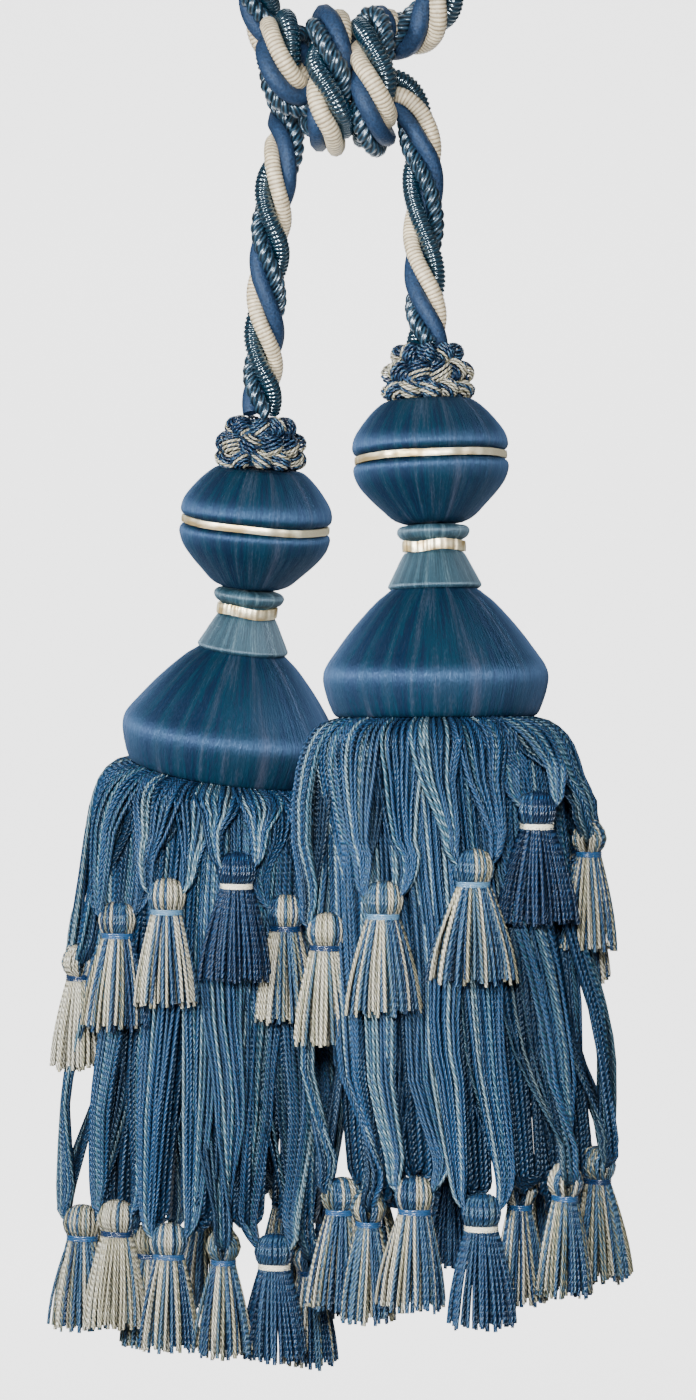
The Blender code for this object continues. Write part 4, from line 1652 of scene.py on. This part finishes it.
@dataclass
class Skirt:
    """The loop legs under a bell: bundles of yarn that part round each small tassel's head.

    Attributes:
        name: the piece's name.
        top: the middle of the bell's bottom.
        tilt: the bell's own turn.
        foot: the middle of the skirt at its foot.
        hangs: the small tassels that it carries.
        seed: of its unevenness.
        yarns: number of yarns in a leg.
        yarn_radius: of a yarn.
        core_bundles: number of bundles of loops inside the legs.
        core_loops: number of loops in such a bundle.
        core_lowest: how far below the bell a bundle's lowest loop may end, in mm.
        core_fall: drop and distance from the skirt's middle down such a loop, in mm.
        beside: half the distance between the two legs of a small tassel, in mm.
        gathered: half a leg's width above a small tassel in front, and how much more it is behind, in mm.
        fold_height: from a small tassel's tie up to where its legs leave their fall, in mm.
        upper_fall: drop below the bell and distance from the skirt's middle down the upper legs, in mm.
        lower_fall: the same down the lower legs.
        grip: the yarns' last places, on the way into a small tassel's head.
    """

    name: str
    top: Vector
    tilt: Matrix
    foot: Vector
    hangs: list[Hang]
    seed: int
    yarns: int = 22
    yarn_radius: float = 0.58 * MM
    core_bundles: int = 14
    core_loops: int = 9
    core_lowest: tuple[float, float] = (127.0, 136.0)
    core_fall: tuple[tuple[float, float], ...] = ((0.4, 21.5), (24.0, 28.5), (52.0, 30.5), (80.0, 33.0))
    beside: float = 6.2
    gathered: tuple[float, float] = (4.0, 3.5)
    fold_height: float = 17.0
    upper_fall: tuple[tuple[float, float], ...] = (
        (-0.6, 24.0), (0.2, 27.5), (1.4, 31.6), (4.4, 35.0), (9.0, 37.0), (16.0, 38.2), (30.0, 38.6),
        (60.0, 39.0),
    )
    lower_fall: tuple[tuple[float, float], ...] = (
        (-0.6, 22.5), (0.6, 26.0), (2.6, 29.6), (7.0, 31.6), (20.0, 32.8), (40.0, 33.4), (62.0, 35.2),
        (84.0, 37.6), (98.0, 38.6), (116.0, 39.0), (128.0, 39.0),
    )
    grip: tuple[Hold, ...] = (
        Hold(6.4, 2.5, 1.0, 1.8, 15.5), Hold(6.1, 1.7, 1.0, 1.0, 10.0), Hold(5.4, 1.2, 0.9, 0.0, 6.4, 1.0),
        Hold(3.0, 0.5, 0.7, 0.0, 4.2), Hold(0.6, 0.0, 0.5, 0.0, 3.4),
    )

    def axis(self, drop: float) -> Vector:
        """The middle of the skirt at a drop below the bell.

        Args:
            drop: the drop in metres.

        Returns:
            The middle.
        """
        share = drop / (self.top.z - self.foot.z)
        return Vector((
            self.top.x + (self.foot.x - self.top.x) * share,
            self.top.y + (self.foot.y - self.top.y) * share,
            self.top.z - drop,
        ))

    def tie_point(self, hang: Hang) -> Vector:
        """The middle of a small tassel's tie."""
        return self.axis(hang.drop * MM) + around(hang.angle) * hang.radius * MM

    def build(self, sweep: YarnSweep, finishes: Finishes, replaced: str) -> bpy.types.Object:
        """Makes the legs and the backing that they are sewn to.

        Args:
            sweep: makes the yarns round.
            finishes: the object's materials.
            replaced: the solid that it stands for.

        Returns:
            The skirt.
        """
        draws = random.Random(self.seed)
        lines: list[Line] = []
        for row in ("upper", "lower"):
            hangs = [hang for hang in self.hangs if hang.row == row]
            pitch = 360 / (2 * len(hangs))
            for hang in hangs:
                for side in (-1, 1):
                    lines += self._leg(draws, hang, side, pitch)
        lines += self._core(draws)
        backing = TurnedShape(BACKING, self.tilt, 48, 1.0 * MM, 0.0)
        meshes = [
            sweep.mesh(self.name, lines, 4, [finishes.skirt_yarn]),
            backing.mesh(f"{self.name}_backing", finishes.neck_satin),
        ]
        return piece(self.name, meshes, [replaced])

    def _core(self, draws: random.Random) -> list[Line]:
        """The loops that hang inside the legs and close the view between them: dark yarn, darkened further by
        painted shade.

        Args:
            draws: the skirt's unevenness.

        Returns:
            A line for each loop, which runs down one leg, round its lowest point and up the other.
        """
        lines = []
        step = 360 / self.core_bundles
        for bundle in range(self.core_bundles):
            centre = bundle * step + draws.uniform(-0.15, 0.15) * step
            lowest = draws.uniform(*self.core_lowest)
            family = draws.uniform(0.10, 0.26)
            for k in range(self.core_loops):
                deep = draws.uniform(0.0, 6.5)
                low = lowest - draws.uniform(0, 6)
                fall = (*self.core_fall, (low - 9, 34.0), (low - 2, 33.2))
                stops = []
                for leg in (-1, 1):
                    across = (k + draws.uniform(0.1, 0.9)) / self.core_loops
                    way = []
                    for drop, radius in fall:
                        gathered = 1 - 0.42 * smooth_share((drop - 40) / (low - 40))
                        angle = centre + leg * across * step * 0.62 * gathered
                        way.append(self.axis(drop * MM) + around(angle) * (radius - deep) * MM)
                    stops += way if leg < 0 else way[::-1]
                    if leg < 0:
                        stops.append(self.axis(low * MM) + around(centre) * (32.7 - deep) * MM)
                tone = min(1.0, max(0.0, draws.gauss(family, 0.07)))
                # painted shade: the inner loops keep only part of their painted light
                crest = draws.uniform(0.34, 0.60)
                points = through(stops, 20)
                lines.append(Line(points, self.yarn_radius * 1.4, tone, crest=crest, out=around(centre)))
        return lines

    def _leg(self, draws: random.Random, hang: Hang, side: int, pitch: float) -> list[Line]:
        """The yarns of one leg, from under the bell to the inside of a small tassel's head.

        Args:
            draws: the skirt's unevenness.
            hang: the small tassel.
            side: -1 for the leg on its left and 1 for that on its right.
            pitch: the angle between two legs under the bell, in degrees.

        Returns:
            A line for each yarn.
        """
        family = draws.uniform(-0.14, 0.14)
        sway = Wave(draws.uniform(0.3, 1.0), draws.uniform(0, FULL_TURN), draws.uniform(0.7, 1.6))
        lines = []
        for k in range(self.yarns):
            across = 2 * (k + draws.uniform(0, 1)) / self.yarns - 1
            layer = (k * 5) % 3
            loose = 3.2 if draws.random() < 0.14 else 1.0
            height, start = loose * draws.uniform(-0.45, 0.45), draws.uniform(0, FULL_TURN)
            own = Wave(height, start, draws.uniform(0.8, 2.4) / loose)
            stops, angle = self._falling(hang, side, pitch, layer, across, sway, own)
            stops += self._held(hang, side, across, (1 - layer) * 1.7 + draws.uniform(-0.5, 0.5))
            tone = min(1.0, max(0.0, draws.gauss(0.40, 0.17) + family))
            # pale-dyed yarns, fewer in the inner layers as a painted shade
            if draws.random() < 0.21 - 0.05 * layer:
                tone = draws.uniform(0.80, 1.0)
            # painted shade: the inner layers of a leg get less painted light
            crest = (1.0, 0.60, 0.28)[layer] * draws.uniform(0.85, 1.0)
            thick = self.yarn_radius * draws.uniform(0.88, 1.08)
            points = through(stops, 17 if hang.row == "upper" else 24)
            lines.append(Line(points, thick, tone, crest=crest, out=around(angle)))
        return lines

    def _falling(
        self, hang: Hang, side: int, pitch: float, layer: int, across: float, sway: Wave, own: Wave,
    ) -> tuple[list[Vector], float]:
        """A leg's yarn from under the bell until it nears the small tassel.

        Args:
            hang: the small tassel.
            side: -1 for the leg on its left and 1 for that on its right.
            pitch: the angle between two legs under the bell, in degrees.
            layer: the yarn's layer in the leg, from the outside.
            across: its place across the leg, from -1 to 1.
            sway: the leg's wave.
            own: the yarn's own wave.

        Returns:
            The yarn's points, and the angle round the skirt at the last one.
        """
        upper, inside = hang.row == "upper", layer == 2
        end_drop = hang.drop - self.fold_height
        inner = hang.radius / 37.0 if hang.radius < 30 else 1.0
        gathered = self.gathered[0] + self.gathered[1] * max(0.0, -math.cos(math.radians(hang.angle)))
        ahead, beside = (self.beside * way(math.radians(hang.turn)) for way in (math.sin, math.cos))
        stops, angle = [], hang.angle
        for drop, radius in self.upper_fall if upper else self.lower_fall:
            share = max(0.0, drop / end_drop)
            if share > 0.88:
                break
            turned = smooth_share(share * 1.15) if upper else smooth_share(share * 1.6 - 0.4)
            if inside and not upper:
                turned = smooth_share(share * 3 - 2)
            radius += (hang.radius - radius) * max(0.0, share - 0.6) if inner == 1.0 else 0.0
            radius *= 1 - (1 - inner) * smooth_share(share * 1.6)
            radius -= side * ahead * turned
            centre = side * (pitch / 2 * (1 - turned) + math.degrees(beside / radius) * turned)
            half = pitch * (1.0 if inside else 0.62) * (1 - turned)
            half += math.degrees(gathered / radius) * turned
            wave = (sway.at(drop, 12) + own.at(drop, 9)) * min(1.0, share * 4)
            angle = hang.angle + centre + across * half + math.degrees(wave / radius)
            depth = layer * 1.1 + (own.height * 0.8 + 4.0 * inside) * min(1.0, share * 2)
            point = self.axis(drop * MM) + around(angle) * (radius - depth) * MM
            lift = (self.tilt @ (around(angle) * radius * MM)).z - self.top.z
            point.z += lift * (1 - min(1.0, share)) - layer * 0.5 * MM * max(0.0, 1 - share * 3)
            stops.append(point)
        return stops, angle

    def _held(self, hang: Hang, side: int, across: float, deep: float) -> list[Vector]:
        """A leg's yarn from there into the small tassel's head.

        Args:
            hang: the small tassel.
            side: -1 for the leg on its left and 1 for that on its right.
            across: the yarn's place across the leg, from -1 to 1.
            deep: its depth in the leg, in mm.

        Returns:
            The yarn's points.
        """
        tie = self.tie_point(hang)
        out, along = around(hang.angle + hang.turn), around(hang.angle + hang.turn + 90)
        back, high = around(hang.angle), Vector((0, 0, 1))
        outward = side * across
        stops = []
        for hold in self.grip:
            way = along * side * (hold.aside + outward * hold.fan) + out * deep * hold.deep
            way += high * (hold.high + outward * hold.rise) - back * hold.back
            stops.append(tie + way * MM)
        return stops


@dataclass
class SmallTassel:
    """A small tassel: yarns folded over the skirt's loop, a tie and a cut end.

    Attributes:
        name: the piece's name.
        tie: the middle of its tie.
        hang: where it hangs and how it is dyed.
        seed: of its unevenness.
        cut_length: of the yarns below the tie.
        head_height: of the fold above the tie.
        yarn_radius: of a folded yarn.
        cut_radius: of a cut yarn.
        waist: half the bundle's width and depth under the tie.
        layers: number of folded yarns in each layer of the head, from the outside.
        fold: up the head's front, a share of its width, and half its depth and the height in mm.
        blue_share: share of the head's yarns that are blue, whatever the palette.
        rings: reach, number and painted light of the cut yarns in each ring, from the outside; the inner
            rings get painted shade.
    """

    name: str
    tie: Vector
    hang: Hang
    seed: int
    cut_length: float = 26.0 * MM
    head_height: float = 9.2 * MM
    yarn_radius: float = 0.54 * MM
    cut_radius: float = 0.55 * MM
    waist: tuple[float, float] = (3.9 * MM, 2.9 * MM)
    layers: tuple[int, ...] = (13, 9, 6)
    fold: tuple[tuple[float, float, float], ...] = (
        (0.78, 2.3, -0.8), (0.80, 2.6, 0.6), (1.04, 4.4, 3.0), (1.04, 4.3, 5.4),
    )
    blue_share: float = 0.30
    rings: tuple[tuple[float, int, float], ...] = ((1.0, 36, 1.0), (0.80, 24, 0.75), (0.50, 12, 0.5))

    def build(self, sweep: YarnSweep, finishes: Finishes, replaced: str) -> bpy.types.Object:
        """Makes the folded head, the tie and the cut yarns.

        Args:
            sweep: makes the yarns round.
            finishes: the object's materials.
            replaced: the solid that it stands for.

        Returns:
            The small tassel.
        """
        draws = random.Random(self.seed)
        lines = self._head(draws) + self._cut_yarns(draws) + self._tie_thread()
        mesh = sweep.mesh(self.name, lines, 4, [finishes.tassel_yarn, finishes.tie_thread])
        return piece(self.name, [mesh], [replaced])

    @property
    def out(self) -> Vector:
        """The way in which the fold's front lobe faces."""
        return around(self.hang.angle + self.hang.turn)

    @property
    def along(self) -> Vector:
        """The way in which the folded yarns lie side by side."""
        return around(self.hang.angle + self.hang.turn + 90)

    def _tone(self, draws: random.Random) -> float:
        """A yarn's tone, drawn from the tassel's palette.

        Args:
            draws: the tassel's unevenness.

        Returns:
            The tone.
        """
        mark = draws.random()
        rows = self.hang.palette.value
        for share, low, high in rows:
            if mark < share:
                return draws.uniform(low, high)
            mark -= share
        return draws.uniform(rows[0][1], rows[0][2])

    def _head(self, draws: random.Random) -> list[Line]:
        """The yarns folded over the skirt's loop, in three layers.

        Args:
            draws: the tassel's unevenness.

        Returns:
            A line for each yarn.
        """
        high = Vector((0, 0, 1))
        lines = []
        for layer, count in enumerate(self.layers):
            inset = 1.05 * layer
            for k in range(count):
                across = -1 + 2 * k / (count - 1) + draws.uniform(-0.05, 0.05)
                crown = math.sqrt(max(0.12, 1 - 0.8 * across * across))
                top = self.head_height / MM * (0.74 + 0.26 * crown) - inset
                shape = [*self.fold, (0.92, 2.8, top - 0.8), (0.82, 0.0, top)]
                shape += [(wide, -deep, tall) for wide, deep, tall in reversed(shape[:-1])]
                stops = []
                for wide, deep, tall in shape:
                    deep = math.copysign(max(0.0, abs(deep) - inset), deep) * crown
                    side = across * (4.6 - 0.6 * layer) * wide
                    stops.append(self.tie + (self.along * side + self.out * deep + high * tall) * MM)
                tone = self._tone(draws)
                if layer == 0:
                    tone = max(tone, self._tone(draws))
                if draws.random() < self.blue_share:
                    tone = draws.uniform(0.15, 0.42)
                # painted shade: darker near the tie and at the fold's top where the legs pass over, and
                # darker in the inner layers
                crest = np.interp(
                    np.linspace(0, 1, 13), [0, 0.2, 0.4, 0.5, 0.6, 0.8, 1], [0.3, 0.9, 1, 0.4, 1, 0.9, 0.3],
                )
                points = through(stops, 13)
                out = away_from(points, self.tie + high * 4.2 * MM)
                above = np.clip(0.30 + (points[:, 2] - self.tie.z) / (5.5 * MM), 0.30, 1.0)
                shown = crest * (1 - 0.35 * layer) * above
                lines.append(Line(points, self.yarn_radius, tone, crest=shown, out=out))
        return lines

    def _cut_yarns(self, draws: random.Random) -> list[Line]:
        """The yarns that hang from the tie and flare to their cut ends.

        Args:
            draws: the tassel's unevenness.

        Returns:
            A line for each yarn.
        """
        lines = []
        wide, deep = self.waist
        spread = self.hang.spread * MM
        sway = around(self.hang.angle) * draws.uniform(-0.4, 1.6) * MM
        for ring, count, crest in self.rings:
            for i in range(count):
                angle = math.radians(360 * (i + draws.uniform(-0.3, 0.3)) / count)
                side, front = math.sin(angle), math.cos(angle)
                reach = spread * ring * draws.uniform(0.92, 1.06)
                if draws.random() < 0.06:
                    reach *= 1.18
                length = self.cut_length * draws.uniform(0.94, 1.03)
                curl = draws.uniform(-0.9, 0.9) * MM
                stops = []
                for share in (0.0, 0.08, 0.25, 0.5, 0.75, 1.0):
                    flare = 1 - (1 - share) ** 1.5
                    across = side * (wide * ring + (reach - wide * ring) * flare)
                    ahead = front * (deep * ring + (reach * 0.88 - deep * ring) * flare)
                    stops.append(
                        self.tie + self.along * (across + front * curl * share**2)
                        + self.out * (ahead - side * curl * share**2) + sway * share
                        + Vector((0, 0, -0.2 * MM - length * share))
                    )
                thick = self.cut_radius * draws.uniform(0.85, 1.12)
                # painted shade just under the tie
                shown = crest * np.interp(np.linspace(0, 1, 9), [0, 0.15, 0.3, 1], [0.45, 0.85, 1, 1])
                points = through(stops, 9)
                out = away_from(points, self.tie + sway * 0.5, level=True)
                lines.append(Line(points, thick, self._tone(draws), crest=shown, out=out))
        return lines

    def _tie_thread(self) -> list[Line]:
        """The thread wound three times round."""
        turns, per_turn = 3, 14
        share = np.linspace(0, 1, turns * per_turn + 1)
        angle = share * turns * FULL_TURN
        wide, deep = (half + 0.45 * MM for half in self.waist)
        points = np.array(self.tie)[None, :] + np.outer(np.cos(angle) * wide, np.array(self.along))
        points += np.outer(np.sin(angle) * deep, np.array(self.out))
        points[:, 2] += (share - 0.5) * 1.5 * MM
        return [Line(points, 0.42 * MM, self.hang.tie.value, finish=1)]


@dataclass
class LargeTassel:
    """All that hangs from one end of the rope.

    Attributes:
        side: left or right.
        rope_end: the rope's last point at this tassel.
        rope_before: the route's point before it.
        ruche_lean: how the ruff leans.
        head_lean: how the head leans.
        neck_lean: how the neck leans.
        bell_lean: how the bell leans.
        foot: the middle of the skirt at its foot.
        hangs: its small tassels.
        seed: of its unevenness.
        ruff_press: how far the ruff is pressed together.
    """

    side: str
    rope_end: Vector
    rope_before: Vector
    ruche_lean: Lean
    head_lean: Lean
    neck_lean: Lean
    bell_lean: Lean
    foot: Vector
    hangs: list[Hang]
    seed: int
    ruff_press: float

    def build(self, sweep: YarnSweep, finishes: Finishes) -> None:
        """Makes every piece of the tassel, from the ruff down.

        Args:
            sweep: makes the yarns round.
            finishes: the object's materials.
        """
        side = self.side
        rope_seat = seat(self._rope_lean(), self.ruche_lean, ROPE_DIAMETER / 2)
        ruche_foot = below(self.rope_end, self.ruche_lean, rope_seat + RUCHE_HEIGHT)
        Ruche(f"{side}_ruff", hanging(ruche_foot, self.ruche_lean), self.seed, self.ruff_press).build(
            sweep, finishes, f"{side}_ruche",
        )

        head_seat = seat(self.ruche_lean, self.head_lean, RUCHE_FOOT_RADIUS)
        head_zero = below(ruche_foot, self.head_lean, head_seat + HEAD_TOP)
        head = hanging(head_zero, self.head_lean)
        self._wound("head", TurnedShape(HEAD_RUNS, head, 200, seed=self.seed), finishes.wound_satin)
        self._ribbon("head", head, 21.0 * MM, (0.6 * MM, 2.6 * MM), 1.2 * MM, self.seed, finishes)

        neck_seat = seat(self.head_lean, self.neck_lean, NECK_TOP_RADIUS)
        neck_top = below(below(head_zero, self.head_lean, -HEAD_BOTTOM), self.neck_lean, neck_seat)
        neck = hanging(neck_top, self.neck_lean)
        shape = TurnedShape(NECK_RUNS, neck, 110, 0.6 * MM, seed=self.seed + 1)
        self._wound("neck", shape, finishes.neck_satin)
        self._ribbon("neck", neck, 8.6 * MM, (-7.5 * MM, -4.6 * MM), 1.0 * MM, self.seed + 1, finishes)

        bell_seat = seat(self.neck_lean, self.bell_lean, BELL_TOP_RADIUS)
        bell_top = below(below(neck_top, self.neck_lean, -NECK_BOTTOM), self.bell_lean, bell_seat)
        bell = hanging(bell_top, self.bell_lean)
        self._wound("bell", TurnedShape(BELL_RUNS, bell, 260, seed=self.seed + 2), finishes.wound_satin)

        skirt_top = below(bell_top, self.bell_lean, GAP - BELL_BOTTOM)
        tilt = hanging(skirt_top, self.bell_lean)
        skirt = Skirt(f"{side}_loop_skirt", skirt_top, tilt, self.foot, self.hangs, self.seed)
        skirt.build(sweep, finishes, f"{side}_skirt")
        for number, hang in enumerate(self.hangs, 1):
            SmallTassel(
                f"{side}_cut_tassel_{number:02d}", skirt.tie_point(hang), hang, self.seed * 100 + number,
            ).build(sweep, finishes, f"{side}_small_tassel_{number:02d}")

    def _rope_lean(self) -> Lean:
        """How the rope leans where it enters the ruff."""
        fall = self.rope_before.z - self.rope_end.z
        return Lean(
            math.degrees(math.atan2(self.rope_end.x - self.rope_before.x, fall)),
            math.degrees(math.atan2(self.rope_end.y - self.rope_before.y, fall)),
        )

    def _wound(self, part: str, shape: TurnedShape, satin: bpy.types.Material) -> None:
        """Makes one of the thread-wound moulds, whose solid is named for it.

        Args:
            part: head, neck or bell.
            shape: its turned shape.
            satin: its finish.
        """
        name = f"{self.side}_wound_{part}"
        piece(name, [shape.mesh(name, satin)], [f"{self.side}_{part}"])

    def _ribbon(
        self,
        part: str,
        matrix: Matrix,
        radius: float,
        edges: tuple[float, float],
        thickness: float,
        seed: int,
        finishes: Finishes,
    ) -> None:
        """Lays the ribbon round a mould's groove."""
        ribbon = Ribbon(f"{self.side}_{part}_ribbon", matrix, radius, edges, thickness, seed)
        ribbon.build(finishes, f"{self.side}_{part}_band")


# ---------------------------------------------------------------- all


def main() -> None:
    """Builds the studio, the rope and the two large tassels."""
    logging.basicConfig(level=logging.INFO, format="%(name)s: %(message)s")
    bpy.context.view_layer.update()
    Studio().build()
    finishes = Finishes()
    sweep = YarnSweep()
    Rope().build(sweep, finishes)
    route = [Vector(stop) * MM for stop in ROPE_ROUTE_MM]
    LargeTassel(
        "right", route[-1], route[-2], Lean(1.0, -3.0), Lean(2.4, -3.4), Lean(1.6, -3.0), Lean(0.4, -2.0),
        Vector((36.0, -14.0, -409.5)) * MM, RIGHT_HANGS, 7, 0.97,
    ).build(sweep, finishes)
    LargeTassel(
        "left", route[0], route[1], Lean(-1.0, 4.5), Lean(-5.0, 5.5), Lean(-7.0, 5.5), Lean(-8.0, 6.0),
        Vector((-43.0, 50.0, -420.5)) * MM, LEFT_HANGS, 11, 0.86,
    ).build(sweep, finishes)


if __name__ == "__main__":
    main()
